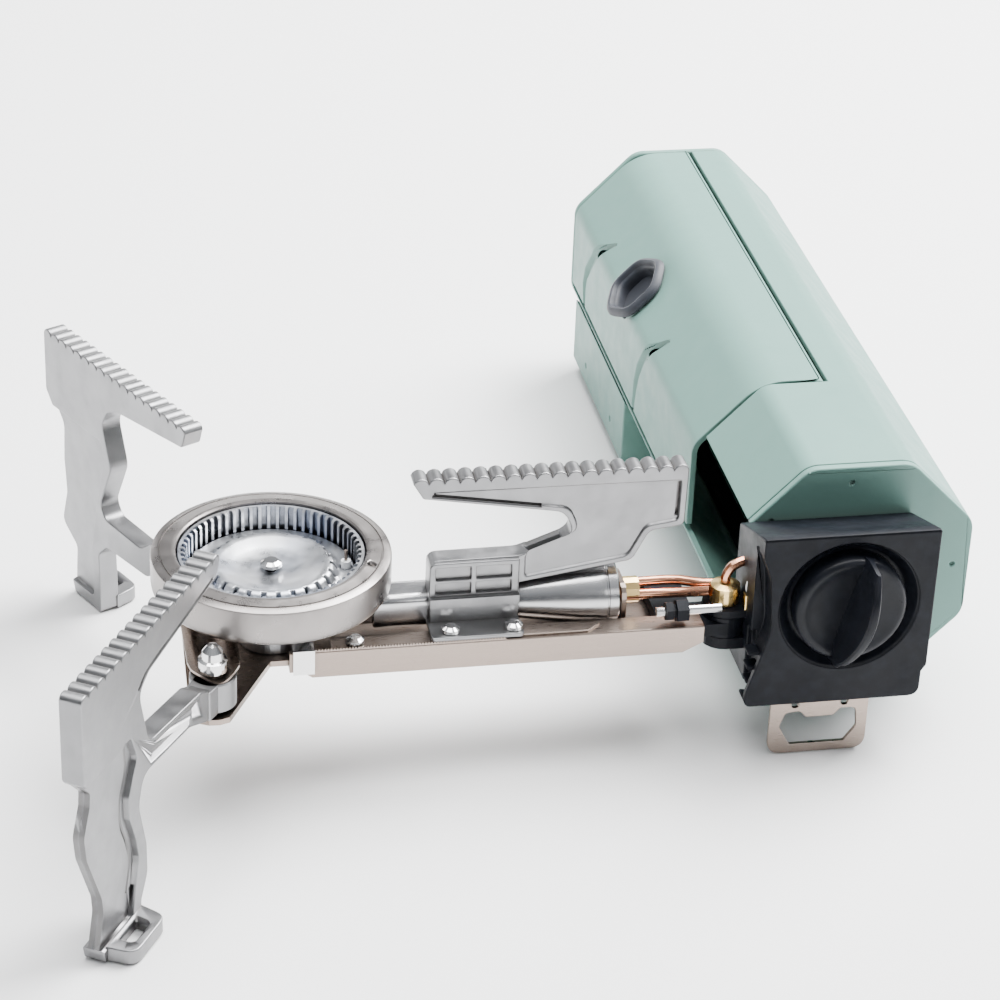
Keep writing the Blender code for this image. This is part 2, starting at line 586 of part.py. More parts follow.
def make_leg_hardware(carrier):
    """Pins, nuts and the blade spring that the legs turn on and rub against."""
    pieces = []
    blade_z = KNUCKLE_Z[1] + GAP
    nut_z = blade_z + BLADE_T + GAP
    carrier_low = ARM_Z[0] + ARM_SHEET + GAP
    shaft = PIN_R + 1
    pins = leg_pins()
    x_mid = (pins[0][0] + pins[1][0]) / 2
    reach = abs(pins[0][1]) + 6.5
    left = x_mid - 9
    wave = rounded([(left, -reach), (x_mid + 8, -reach), (x_mid + 4.5, -18), (x_mid + 8, 0),
                    (x_mid + 4.5, 18), (x_mid + 8, reach), (left, reach), (left + 3, 18), (left, 0),
                    (left + 3, -18)], 5)
    blade = prism("blade_spring", wave, blade_z, blade_z + BLADE_T, "XY", STAINLESS, smooth=False)
    for side, (x, y) in zip(("front", "back"), pins):
        pin = turned("leg_pin_" + side, [(0, carrier_low - 1.8 - GAP), (5.4, carrier_low - 1.8 - GAP),
                                         (5.4, carrier_low - GAP), (shaft, carrier_low - GAP), (shaft, nut_z - 0.1),
                                         (2.2, nut_z - 0.1), (2.2, nut_z + 4.2), (0, nut_z + 4.2)],
                     (x, y, 0), "Z", 24, STAINLESS)
        nut = turned("acorn_nut_" + side, [(2.2 + GAP, nut_z + GAP), (4.7, nut_z + GAP), (4.7, nut_z + 4.0),
                                           (3.6, nut_z + 4.4), (3.3, nut_z + 7.0), (1.8, nut_z + 9.0),
                                           (0, nut_z + 9.4), (0, nut_z + 4.2 + GAP), (2.2 + GAP, nut_z + 4.2 + GAP)],
                     (x, y, 0), "Z", 24, BRIGHT)
        hole = rod("pin_hole_cutter_" + side, shaft + GAP, carrier_low - 3, blade_z + 3, (x, y), segments=24)
        cut(blade, hole)
        cut(carrier, hole)
        attach_to_root.append(hole)
        pieces += [pin, nut]
    return pieces + [blade]


# ---------------------------------------------------------------- housing

def octagon(grow=0.0):
    """Corners of the octagon, from the lower left one on, clockwise seen from the front."""
    w, t = HOUSING_W / 2 + grow, HOUSING_TOP_W / 2 + grow * tan(pi / 8)
    low, high = HOUSING_Z - grow, HOUSING_Z + HOUSING_H + grow
    mid = HOUSING_Z + HOUSING_H / 2
    side = HOUSING_SIDE_H / 2 + grow * tan(pi / 8)
    return [(HOUSING_X - w, mid - side), (HOUSING_X - w, mid + side), (HOUSING_X - t, high),
            (HOUSING_X + t, high), (HOUSING_X + w, mid + side), (HOUSING_X + w, mid - side),
            (HOUSING_X + t, low), (HOUSING_X - t, low)]


def strip(points):
    """Plate outline along an open run of wall points (outer side), with the wall's thickness."""
    inner = []
    count = len(points)
    for i, point in enumerate(points):
        here = Vector(point)
        steps = []
        if i > 0:
            steps.append((here - Vector(points[i - 1])).normalized())
        if i < count - 1:
            steps.append((Vector(points[i + 1]) - here).normalized())
        normals = [Vector((step.y, -step.x)) for step in steps]
        normal = sum(normals, Vector((0, 0))).normalized()
        inner.append(tuple(here + normal * HOUSING_WALL / normal.dot(normals[0])))
    return list(points) + inner[::-1]


def soft_run(corners, steps=3):
    """Open run of points with its middle corners rounded."""
    outline = rounded(corners, [0] + [CORNER_R] * (len(corners) - 2) + [0], steps)
    return outline


def make_housing():
    """Shell, collar, end plates, lid, grommet and feet."""
    ll, ul, tl, tr, ur, lr, br, bl = octagon()
    top = tl[1]
    collar_y = (HOUSING_Y[0] + END_PLATE_T + GAP, COLLAR_END_Y)
    shell_y = (COLLAR_END_Y + GAP, HOUSING_Y[1] - END_PLATE_T - GAP)
    outer = rounded(octagon(), CORNER_R)
    inner = rounded(octagon(-HOUSING_WALL), CORNER_R - 1.6)
    collar = prism("front_collar", outer, *collar_y, "XZ", SAGE)
    collar_core = prism("collar_core_cutter", inner, collar_y[0] - 1, collar_y[1] + 1, "XZ")
    opening = block("arm_opening_cutter", (HOUSING_X - HOUSING_W, -5, 35.0),
                    (HOUSING_X - HOUSING_W / 2 + 7, COLLAR_END_Y + 1, ARM_OPENING_TOP_Z))
    cut(collar, collar_core, opening)
    attach_to_root.extend([collar_core, opening])

    axis_z = top - HINGE_BARREL_R
    edge_x = HINGE_X + HINGE_BARREL_R + GAP
    shell_run = soft_run([(edge_x, top), tr, ur, lr, br, bl, ll, (ll[0], LID_SIDE_Z)])
    shell = prism("lower_shell", strip(shell_run), *shell_y, "XZ", SAGE)
    chamfer = prism("shell_edge_cutter", [(edge_x - 1, top + 1), (edge_x + 1.4, top + 1), (edge_x - 1, top - 1.4)],
                    shell_y[0] - 1, shell_y[1] + 1, "XZ")
    cut(shell, chamfer)
    attach_to_root.append(chamfer)

    lid_y = (shell_y[0] + GAP, shell_y[1] - GAP)
    lid_run = soft_run([(ul[0], LID_SIDE_Z + GAP), ul, tl, (HINGE_X, top)])
    lid = prism("lid", strip(lid_run), *lid_y, "XZ", SAGE)
    barrel = rod("hinge_barrel", HINGE_BARREL_R, *lid_y, (HINGE_X, axis_z), "Y", 16)
    bore = rod("hinge_bore_cutter", HINGE_PIN_R + GAP, lid_y[0] - 6, lid_y[1] + 6, (HINGE_X, axis_z), "Y", 12)
    slant_mid = ((ul[0] + tl[0]) / 2 - 6.0, (ul[1] + tl[1]) / 2 - 6.0)
    eye = rod("grommet_hole_cutter", GROMMET_HOLE_R + GAP, -12, 12, segments=28)
    eye.rotation_euler.y = -pi / 4
    eye.location = Vector((slant_mid[0], GROMMET_Y, slant_mid[1])) * MM
    cut(join(lid, barrel), bore, eye)
    cut(collar, bore)
    attach_to_root.extend([barrel, bore, eye])
    for index, place in enumerate((149.0, 245.0)):
        groove = chevron("chevron_cutter_%d" % index, place, ul)
        cut(lid, groove)
        attach_to_root.append(groove)
    pin = rod("lid_hinge_pin", HINGE_PIN_R, COLLAR_END_Y - 5, HOUSING_Y[1] - 1.5,
              (HINGE_X, axis_z), "Y", 10, STAINLESS)

    grommet = turned("cable_grommet", [(GROMMET_BORE_R, -4.5), (GROMMET_HOLE_R, -4.5), (GROMMET_HOLE_R, GAP),
                                       (GROMMET_R, GAP), (GROMMET_R - 0.6, 2.0), (GROMMET_R - 2.4, 2.8),
                                       (GROMMET_BORE_R + 1, 2.0), (GROMMET_BORE_R, 1.2)], segments=28,
                     finish=RUBBER)
    grommet.rotation_euler.y = -pi / 4
    surface = ((ul[0] + tl[0]) / 2, (ul[1] + tl[1]) / 2)
    slide = 6.0
    grommet.location = Vector((surface[0] - slide, GROMMET_Y, surface[1] - slide)) * MM

    front = end_plate("front_plate", HOUSING_Y[0], HOUSING_Y[0] + END_PLATE_T)
    rear = end_plate("rear_plate", HOUSING_Y[1] - END_PLATE_T, HOUSING_Y[1])
    rear_pin_hole = rod("rear_pin_cutter", HINGE_PIN_R + GAP, HOUSING_Y[1] - 9, HOUSING_Y[1] - 1.2,
                        (HINGE_X, axis_z), "Y", 12)
    cut(rear, rear_pin_hole)
    cut(front, opening)
    attach_to_root.append(rear_pin_hole)
    return collar, shell, lid, pin, grommet, front, rear


def end_plate(name, low, high):
    return prism(name, rounded(octagon(), CORNER_R), low, high, "XZ", SAGE)


def chevron(name, place_y, corner):
    """Shallow V groove that runs down the slant and over the lid's left face."""
    x, z = corner
    depth = 0.8
    turns = [(x + 4.0, place_y - 20, z + 4.0), (x, place_y, z - 22.0), (x, place_y - 3, LID_SIDE_Z - 2)]
    bm = bmesh.new()
    rings = []
    for px, py, pz in turns:
        rings.append([bm.verts.new((px + dx, py + dy, pz)) for dx, dy in
                      ((-3, -1.4), (depth, -1.4), (depth, 1.4), (-3, 1.4))])
    for a, b in zip(rings, rings[1:]):
        for i in range(4):
            j = (i + 1) % 4
            bm.faces.new((a[i], a[j], b[j], b[i]))
    bm.faces.new(rings[0])
    bm.faces.new(rings[-1][::-1])
    return add_object(name, bm, None, smooth=False)


def make_inside():
    """Cartridge rails, valve, magnet ring and rear feet."""
    mid = HOUSING_Z + HOUSING_H / 2
    pieces = []
    rail_y = (COLLAR_END_Y + 6, HOUSING_Y[1] - END_PLATE_T - 8)
    floor = HOUSING_Z + HOUSING_WALL + GAP
    for side, name in ((-1, "cartridge_rail_left"), (1, "cartridge_rail_right")):
        x = HOUSING_X + side * 12
        drop = CARTRIDGE_R - sqrt(CARTRIDGE_R ** 2 - 9 ** 2)
        edge = mid - CARTRIDGE_R - GAP + drop
        pieces.append(block(name, (x - 3, rail_y[0], floor), (x + 3, rail_y[1], edge - 1.0), BLACK))
    y = HOUSING_Y[0] + END_PLATE_T + GAP
    nose_y = y + VALVE_LENGTH
    valve = turned("gas_valve", [(0, y), (VALVE_R, y), (VALVE_R, nose_y - 10), (VALVE_NOSE_R, nose_y - 7),
                                 (VALVE_NOSE_R, nose_y), (2.2, nose_y), (2.2, nose_y - 6), (0, nose_y - 6)],
                   (HOUSING_X, 0, mid), "Y", 32, BRASS)
    magnet = sleeve("magnet_ring", VALVE_NOSE_R + 13, VALVE_NOSE_R + GAP, nose_y - 6.5, nose_y - 0.5,
                    (HOUSING_X, mid), "Y", 32, MAGNET)
    return pieces, valve, magnet


# ---------------------------------------------------------------- control box

def make_control_box():
    """Box with its round recess, knob, shaft, foot plate and the arm's bracket."""
    back = HOUSING_Y[0] - GAP
    face = BOX_Y
    wall = BOX_WALL
    low, high = BOX_Z
    side = [(face, low), (face, high), (back, BOX_BACK_TOP_Z), (back, low)]
    box = prism("control_box", side, BOX_X[0], BOX_X[1], "YZ", BLACK)
    room = [(face + PANEL_T, low + wall), (face + PANEL_T, high - wall - 0.8), (back + 1, BOX_BACK_TOP_Z - wall - 1.4),
            (back + 1, low + wall)]
    cavity = prism("box_room_cutter", room, BOX_X[0] + wall, BOX_X[1] - wall, "YZ")
    left = rounded([(BOX_X[0] + 3, low), (BOX_X[0] + 3, high), (BOX_FACE_X + 4, high), (BOX_FACE_X + 2.5, high - 8),
                    (BOX_FACE_X + 5, 50), (BOX_FACE_X - 1, low)], [0, 0, 3, 8, 14, 2], 5)
    wing = prism("box_wing", left, face, face + PANEL_T + 1.0, "XZ")
    cup = rod("recess_cup", RECESS_R + 2, face + 0.5, face + RECESS_DEPTH + 2, (KNOB_X, KNOB_Z), "Y", 36)
    recess = rod("recess_cutter", RECESS_R, face - 1, face + RECESS_DEPTH, (KNOB_X, KNOB_Z), "Y", 36)
    shaft_hole = rod("shaft_hole_cutter", SHAFT_R + GAP, face - 1, back + 30, (KNOB_X, KNOB_Z), "Y", 20)
    foot_y = (face + PANEL_T + GAP, face + PANEL_T + GAP + FOOT_T)
    slot = block("foot_slot_cutter", (FOOT_X[0] - GAP, foot_y[0] - GAP, low - 1), (FOOT_X[1] + GAP, foot_y[1] + GAP, low + wall + 1))
    cut(box, cavity)
    join(box, wing, cup)
    cut(box, recess, shaft_hole, slot)
    attach_to_root.extend([cavity, wing, cup, recess, shaft_hole, slot])

    knob = make_knob(face)
    gate_y = HOUSING_Y[0] + END_PLATE_T + GAP
    shaft = rod("knob_shaft", SHAFT_R, face + 1.2, gate_y - GAP, (KNOB_X, KNOB_Z), "Y", 20, BRASS)
    plate = make_foot_plate(foot_y)
    bracket, pin = make_bracket()
    piezo = rod("piezo_igniter", 5, face + PANEL_T + 4, back - GAP,
                (170, KNOB_Z - RECESS_R - 2.5), "Y", 20, BLACK)
    return box, knob, shaft, plate, bracket, pin, piezo, shaft_hole


def make_knob(face):
    """Dial with a tall blade grip across it; it turns about its shaft."""
    dial_y = (face - 3.0, face + RECESS_DEPTH - GAP)
    places = (KNOB_X, 0, KNOB_Z)
    knob = turned("knob", [(0, dial_y[0]), (KNOB_R - 1.5, dial_y[0]), (KNOB_R, dial_y[0] + 1.5),
                           (KNOB_R, dial_y[1]), (0, dial_y[1])], places, "Y", 40, BLACK)
    blade = [(KNOB_R - 1, dial_y[0] + 1), (KNOB_R - 2, dial_y[0] - 6), (11, dial_y[0] - 11.5),
             (0, dial_y[0] - 13.5), (-11, dial_y[0] - 11.5), (-KNOB_R + 2, dial_y[0] - 6),
             (-KNOB_R + 1, dial_y[0] + 1)]
    grip = prism("knob_blade", [(y, KNOB_Z + z) for z, y in blade], KNOB_X - 2.6, KNOB_X + 2.6, "YZ")
    socket = rod("knob_socket_cutter", SHAFT_R + GAP, face + 1, face + RECESS_DEPTH + 2, (KNOB_X, KNOB_Z), "Y", 20)
    cut(join(knob, grip), socket)
    attach_to_root.extend([grip, socket])
    return knob


def make_foot_plate(foot_y):
    """Sliding steel foot with a bottle-opener window."""
    low, high = FOOT_X
    outline = rounded([(low, 0), (high, 0), (high, FOOT_TOP_Z), (low, FOOT_TOP_Z)], [4.5, 4.5, 0, 0], 4)
    plate = prism("foot_plate", outline, *foot_y, "XZ", STAINLESS)
    mid = (low + high) / 2
    window = rounded([(mid - 8, 4.0), (mid + 9, 4.0), (mid + 13, 9), (mid + 12, 17), (mid + 7.5, 17),
                      (mid + 5.5, 14.5), (mid - 4, 14.5), (mid - 7, 17), (mid - 11.5, 16), (mid - 13, 11)], 1.5)
    opener = prism("opener_cutter", window, foot_y[0] - 1, foot_y[1] + 1, "XZ")
    cut(plate, opener)
    attach_to_root.append(opener)
    return plate


def make_bracket():
    """Fork on the box's left wall that carries the arm's pin."""
    low = (ARM_Z[0] - GAP - 4.0, ARM_Z[0] - GAP)
    high = (ARM_Z[1] + 2 * GAP, ARM_Z[1] + 2 * GAP + BRACKET_LUG_T)
    web_x = (SWING_X + SWING_R + 0.8, BOX_X[0] - GAP)
    lobe = [(web_x[1], SWING_Y - SWING_R)]
    lobe += [(SWING_X + SWING_R * cos(a), SWING_Y + SWING_R * sin(a))
             for a in [radians(-90 - 20 * k) for k in range(10)]]
    lobe += [(web_x[1], SWING_Y + SWING_R)]
    bracket = prism("arm_bracket", lobe, low[0], low[1], "XY", BLACK)
    upper = prism("upper_lug", lobe, high[0], high[1], "XY")
    web = block("bracket_web", (web_x[0], SWING_Y - SWING_R, low[0]), (web_x[1], SWING_Y + SWING_R, high[1]))
    hole = rod("bracket_pin_cutter", PIN_R + GAP, low[0] - 1, high[1] + 1, (SWING_X, SWING_Y), segments=20)
    cut(join(bracket, upper, web), hole)
    attach_to_root.extend([upper, web, hole])
    pin = turned("arm_hinge_pin", [(0, low[0] - 2.0), (4, low[0] - 2.0), (4, low[0] - GAP), (PIN_R, low[0] - GAP),
                                   (PIN_R, high[1] - 0.2), (0, high[1] - 0.2)], (SWING_X, SWING_Y, 0), "Z", 20,
                 STAINLESS)
    union_top = TUBE_Z + 5.8
    x, y = SWING_X, SWING_Y
    wall_x = BOX_X[0] - 3 * GAP
    elbow = pipe("feed_elbow", [(x, y, union_top + GAP), (x, y, union_top + 2.5), (x + 1.6, y, union_top + 5.6),
                                (x + 5.0, y, union_top + 7.6), (wall_x, y, union_top + 8)], 1.7, COPPER)
    plug_x, plug_y, plug_z = x + 6.7, y - 5.7, high[1] + GAP
    connector = prism("lead_connector", rounded([(plug_x - 1.7, plug_y - 1.7), (plug_x + 1.7, plug_y - 1.7),
                                                 (plug_x + 1.7, plug_y + 1.7), (plug_x - 1.7, plug_y + 1.7)], 0.6, 2),
                      plug_z, plug_z + 5.2, "XY", BRASS)
    lead_z = plug_z + 5.2 + GAP
    lead = pipe("ignition_lead", [(plug_x, plug_y, lead_z), (plug_x - 0.4, plug_y - 0.2, lead_z + 2.6),
                                  (plug_x, plug_y - 0.9, lead_z + 5.4), (wall_x, plug_y - 1.5, lead_z + 7.2)],
                1.1, CERAMIC)
    return bracket, [pin, elbow, connector, lead]


# ---------------------------------------------------------------- assembly

attach_to_root = []


def main():
    clear_scene()
    root = empty("stove_root", (0, 0, 0))
    arm_axis = empty("arm_axis", (SWING_X, SWING_Y, 0))
    pins = leg_pins()
    front_axis = empty("leg_front_axis", (*pins[0], 0))
    back_axis = empty("leg_back_axis", (*pins[1], 0))
    lid_axis = empty("lid_axis", (HINGE_X, 0, HOUSING_Z + HOUSING_H - HINGE_BARREL_R))
    knob_axis = empty("knob_axis", (KNOB_X, 0, KNOB_Z))
    foot_guide = empty("foot_guide", (sum(FOOT_X) / 2, BOX_Y, 0))

    burner = make_burner()
    arm, support_holes = make_arm()
    support = make_right_support(support_holes)
    leg_front, leg_back = make_legs()
    hardware = make_leg_hardware(arm[1])
    collar, shell, lid, lid_pin, grommet, front, rear = make_housing()
    rails, valve, magnet = make_inside()
    box, knob, shaft, plate, bracket, pin, piezo, shaft_hole = make_control_box()
    cut(front, shaft_hole)
    pads = make_feet()

    attach(root, arm_axis, lid_axis, knob_axis, foot_guide)
    attach(arm_axis, front_axis, back_axis, *burner, *arm, support, *hardware)
    attach(front_axis, leg_front)
    attach(back_axis, leg_back)
    attach(lid_axis, lid, grommet)
    attach(knob_axis, knob, shaft)
    attach(foot_guide, plate)
    attach(root, collar, shell, lid_pin, front, rear, *rails, valve, magnet, box, bracket, *pin, piezo, *pads,
           *attach_to_root)
    centre_on_base(root)


def make_feet():
    """Rear base under the octagon and its rubber pads."""
    ll, ul, tl, tr, ur, lr, br, bl = octagon(GAP)
    inset = 0.8
    left, right = ll[0] + inset, lr[0] - inset
    cradle = [(left, FOOT_BASE_Z + 2), (left + 2, FOOT_BASE_Z), (right - 2, FOOT_BASE_Z), (right, FOOT_BASE_Z + 2),
              (right, lr[1] - inset), br, bl, (left, ll[1] - inset)]
    pads = [prism("rear_base", cradle, *FOOT_BASE_Y, "XZ", SAGE)]
    for side, name in ((-1, "rear_pad_left"), (1, "rear_pad_right")):
        x = HOUSING_X + side * 30
        pads.append(block(name, (x - 5, FOOT_BASE_Y[0] + 8, 0), (x + 5, FOOT_BASE_Y[1] - 8, FOOT_BASE_Z - GAP), RUBBER))
    return pads


def centre_on_base(root):
    """Move the root so that the origin is under the middle of the stove's box."""
    bpy.context.view_layer.update()
    graph = bpy.context.evaluated_depsgraph_get()
    low, high = Vector((1e9,) * 3), Vector((-1e9,) * 3)
    for obj in bpy.data.objects:
        if obj.type == "EMPTY" or obj.hide_render:
            continue
        shape = obj.evaluated_get(graph)
        mesh = shape.to_mesh()
        for vertex in mesh.vertices:
            place = shape.matrix_world @ vertex.co
            low = Vector(map(min, low, place))
            high = Vector(map(max, high, place))
        shape.to_mesh_clear()
    root.location = (-(low.x + high.x) / 2, -(low.y + high.y) / 2, -low.z)
    bpy.context.view_layer.update()


main()
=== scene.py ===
"""Looks of the folding camping stove: shells, castings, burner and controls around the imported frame."""

from math import cos, pi, radians, sin, tan

import bmesh
import bpy
from mathutils import Matrix, Vector

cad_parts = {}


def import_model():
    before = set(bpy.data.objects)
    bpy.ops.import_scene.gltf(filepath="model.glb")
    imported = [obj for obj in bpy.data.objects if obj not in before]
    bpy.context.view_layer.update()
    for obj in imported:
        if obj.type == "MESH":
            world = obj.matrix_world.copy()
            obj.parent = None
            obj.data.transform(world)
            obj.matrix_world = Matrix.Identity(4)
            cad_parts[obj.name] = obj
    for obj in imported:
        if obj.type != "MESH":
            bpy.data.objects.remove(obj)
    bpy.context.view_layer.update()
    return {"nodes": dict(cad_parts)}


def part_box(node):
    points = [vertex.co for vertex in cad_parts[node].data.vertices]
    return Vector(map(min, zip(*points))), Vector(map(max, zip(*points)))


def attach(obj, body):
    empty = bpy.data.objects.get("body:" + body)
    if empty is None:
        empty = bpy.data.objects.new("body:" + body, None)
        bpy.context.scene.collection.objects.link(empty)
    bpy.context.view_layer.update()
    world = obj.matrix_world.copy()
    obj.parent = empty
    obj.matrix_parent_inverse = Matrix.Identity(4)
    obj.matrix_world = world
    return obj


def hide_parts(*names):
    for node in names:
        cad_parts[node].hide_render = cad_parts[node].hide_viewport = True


bl_info = {
    "name": "Folding camping stove",
    "version": (1, 0, 0),
    "blender": (4, 5, 0),
    "location": "View3D > Sidebar > Stove",
    "description": "Builds the visible pieces of a folding camping stove around its frame",
    "category": "Object",
}

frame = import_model()
MM = 0.001


def node_box(node):
    """Lowest and highest corner of a node, as vectors."""
    low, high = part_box(node)
    return Vector(low), Vector(high)


CUP_LOW, CUP_HIGH = node_box("burner_cup")
BURNER_AXIS = Vector(((CUP_LOW.x + CUP_HIGH.x) / 2, (CUP_LOW.y + CUP_HIGH.y) / 2, 0.0))


def span(node, axis):
    """Lowest and highest coordinate of a node in millimetres, measured from the burner's axis."""
    low, high = node_box(node)
    return (low[axis] - BURNER_AXIS[axis]) / MM, (high[axis] - BURNER_AXIS[axis]) / MM


def middle(node, axis):
    """Middle of a node along an axis, in the same measure as its span."""
    return sum(span(node, axis)) / 2


def plan(node):
    """Middle of a node seen from above."""
    return middle(node, 0), middle(node, 1)


# Driving sizes in millimetres, read from the frame
BURNER_R = (CUP_HIGH.x - CUP_LOW.x) / 2 / MM
RIM_Z = CUP_HIGH.z / MM
LEFT_X, RIGHT_X = span("lower_shell", 0)
BASE_Z, TOP_Z = span("lower_shell", 2)
FRONT_Y = span("front_plate", 1)[0]
BACK_Y = span("rear_plate", 1)[1]
SHELL_Y = (span("front_collar", 1)[0], span("lower_shell", 1)[1])
LID_Y = span("lid", 1)
LID_LOW_Z = span("lid", 2)[0]
KNOB_X = middle("knob", 0)
KNOB_Z = middle("knob", 2)
KNOB_BACK_Y = span("knob", 1)[1]
BOX_FRONT_Y, BOX_BACK_Y = span("control_box", 1)
BOX_LOW_Z, BOX_TOP_Z = span("control_box", 2)
BOX_LEFT_X, BOX_RIGHT_X = span("control_box", 0)
FOOT_X = span("foot_plate", 0)
FOOT_Y = span("foot_plate", 1)
FOOT_TOP_Z = span("foot_plate", 2)[1]
SUPPORT_X = span("right_support", 0)
POT_Z = span("right_support", 2)[1]
HINGE_X = middle("lid_hinge_pin", 0)
HINGE_Z = middle("lid_hinge_pin", 2)
COLLAR_END_Y = span("front_collar", 1)[1]

# Sizes that the frame's boxes don't give, in millimetres
SHELL_WALL = 2.2
LID_GAP = 2.5                 # clearance between the lid and the shell round it
BARREL_R, HINGE_PIN_WAY_R = 1.6, 1.0
EYE_R = 11.6                  # hole in the lid for the rubber ring
CAP_CREST_R = 20.2            # where the cap's ported ridge stands
TOE_START, FRONT_TOE_END, BACK_TOE_END = 58.5, 82.0, 78.0   # from each leg's pin
RECESS_LIP_R = 24.3           # mouth of the dial's recess
BLADE_TILT_DEG = 14           # turn of the knob's blade at rest
CHANNEL_T, CHANNEL_DROP = 1.0, 2.6
MOUTH_R = 10.6                # wide end of the mixing tube
PIPE_R = 1.75
SCREW_WAY_R, IGNITER_WAY_R = 1.6, 1.9
SUPPORT_T = 7.4
LEG_FRONT_DEG, LEG_BACK_DEG = 238.7, 117.2
LEG_PIN_R = 44.0
KNUCKLE_Z = (43.3, 53.7)
RIDGES = 18
ARM_OPENING_TOP_Z = 73.0
HOUSING_X = (LEFT_X + RIGHT_X) / 2
OCTAGON_TOP_W, OCTAGON_SIDE_H = 35.7, 35.9


# ---------------------------------------------------------------- settings

def length(name, about, value_mm, low_mm=0.1, high_mm=60.0):
    """Setting for a length, given in millimetres and kept in metres."""
    return bpy.props.FloatProperty(name=name, description=about, default=value_mm * MM, min=low_mm * MM,
                                   max=high_mm * MM, unit="LENGTH", precision=4)


def colour(name, about, value):
    """Setting for a colour."""
    return bpy.props.FloatVectorProperty(name=name, description=about, default=value, size=3, min=0.0,
                                         max=1.0, subtype="COLOR")


class HousingSettings(bpy.types.PropertyGroup):
    corner: length("Corner radius", "Radius of the octagon's long corners", 9.0)
    crown: length("Crown radius", "Soft roll between the lid's slant and its top", 22.0)
    edge: length("Edge radius", "Rounding of the moulded edges", 0.7)
    groove_depth: length("Groove depth", "Depth of the chevron grooves in the lid", 1.9)
    shell_colour: colour("Shell", "Sage-green coating", (0.138, 0.262, 0.228))
    grommet_colour: colour("Grommet", "Rubber ring in the lid", (0.012, 0.015, 0.023))


class BurnerSettings(bpy.types.PropertyGroup):
    slots: bpy.props.IntProperty(name="Flame slots", description="Upright slots round the flame ring",
                                 default=60, min=12, max=120)
    ports: bpy.props.IntProperty(name="Cap ports", description="Gas ports round the raised cap",
                                 default=26, min=6, max=60)
    cup_colour: colour("Cup", "Satin metal of the burner cup", (0.29, 0.27, 0.26))
    tint_colour: colour("Heat tint", "Blue heat tint on the flame ring", (0.20, 0.30, 0.52))


class SupportSettings(bpy.types.PropertyGroup):
    ridge_height: length("Ridge height", "Height of the ridges that grip a pot", 1.9)
    edge: length("Edge radius", "Rounding of the cast edges", 0.5)
    web_depth: length("Web depth", "How far the legs' webs are sunk behind their rims", 1.8)
    cast_colour: colour("Casting", "Satin die-cast aluminium", (0.255, 0.255, 0.26))


class ControlSettings(bpy.types.PropertyGroup):
    edge: length("Edge radius", "Rounding of the control box", 1.0)
    grip_height: length("Grip height", "How far the knob's blade stands out of its dial", 17.0)
    plastic_colour: colour("Plastic", "Black plastic of the control box and knob", (0.005, 0.006, 0.009))
    steel_colour: colour("Steel", "Brushed stainless steel", (0.32, 0.262, 0.225))


class StageSettings(bpy.types.PropertyGroup):
    floor_colour: colour("Floor", "Pale studio floor", (0.86, 0.86, 0.86))


# ---------------------------------------------------------------- mesh helpers

def world(point):
    """A point in millimetres from the burner's axis, as a place in the frame."""
    return BURNER_AXIS + Vector(point) * MM


def finish_mesh(name, bm, turn=None):
    """Close a bmesh that is in millimetres into a smooth-shaded object in metres."""
    bmesh.ops.remove_doubles(bm, verts=bm.verts, dist=0.001)
    bmesh.ops.recalc_face_normals(bm, faces=bm.faces)
    if turn:
        bmesh.ops.transform(bm, matrix=turn, verts=bm.verts)
    bmesh.ops.transform(bm, matrix=Matrix.Translation(BURNER_AXIS) @ Matrix.Scale(MM, 4), verts=bm.verts)
    mesh = bpy.data.meshes.new(name)
    bm.to_mesh(mesh)
    bm.free()
    mesh.shade_smooth()
    mesh.set_sharp_from_angle(angle=radians(32))
    obj = bpy.data.objects.new(name, mesh)
    bpy.context.collection.objects.link(obj)
    return obj


def in_plane(plane, a, b, c):
    """Point at a and b in a plane, and at c across it."""
    return {"XY": (a, b, c), "XZ": (a, c, b), "YZ": (c, a, b)}[plane]


def prism(name, outline, low, high, plane="XY", turn=None):
    """An outline pushed out from low to high across its plane."""
    bm = bmesh.new()
    face = bm.faces.new([bm.verts.new(in_plane(plane, a, b, low)) for a, b in outline])
    made = bmesh.ops.extrude_face_region(bm, geom=[face])["geom"]
    top = [item for item in made if isinstance(item, bmesh.types.BMVert)]
    bmesh.ops.translate(bm, vec=in_plane(plane, 0, 0, high - low), verts=top)
    return finish_mesh(name, bm, turn)


def inset(outline, amount):
    """Outline moved inwards, or outwards when the amount is negative."""
    points = [Vector(point) for point in outline]
    count = len(points)
    area = sum(points[i - 1].x * points[i].y - points[i].x * points[i - 1].y for i in range(count))
    way = 1 if area > 0 else -1
    moved = []
    for i, here in enumerate(points):
        before = (here - points[i - 1]).normalized()
        after = (points[(i + 1) % count] - here).normalized()
        normal = Vector((-before.y - after.y, before.x + after.x))
        if normal.length < 1e-6:
            normal = Vector((-after.y, after.x))
        normal = normal.normalized()
        lean = max(normal.dot(Vector((-after.y, after.x))), 0.6)
        moved.append(tuple(here + normal * way * amount / lean))
    return moved


def cast_prism(name, outline, low, high, edge, plane="XY", turn=None):
    """Prism whose rims are rounded over by the edge radius, as a casting's are."""
    bends = [(1 - cos(t * pi / 6), 1 - sin(t * pi / 6)) for t in range(4)]
    sections = [[in_plane(plane, a, b, low + edge * rise) for a, b in inset(outline, edge * into)]
                for rise, into in bends]
    sections += [[in_plane(plane, a, b, high - edge * rise) for a, b in inset(outline, edge * into)]
                 for rise, into in bends[::-1]]
    return loft(name, sections, turn)


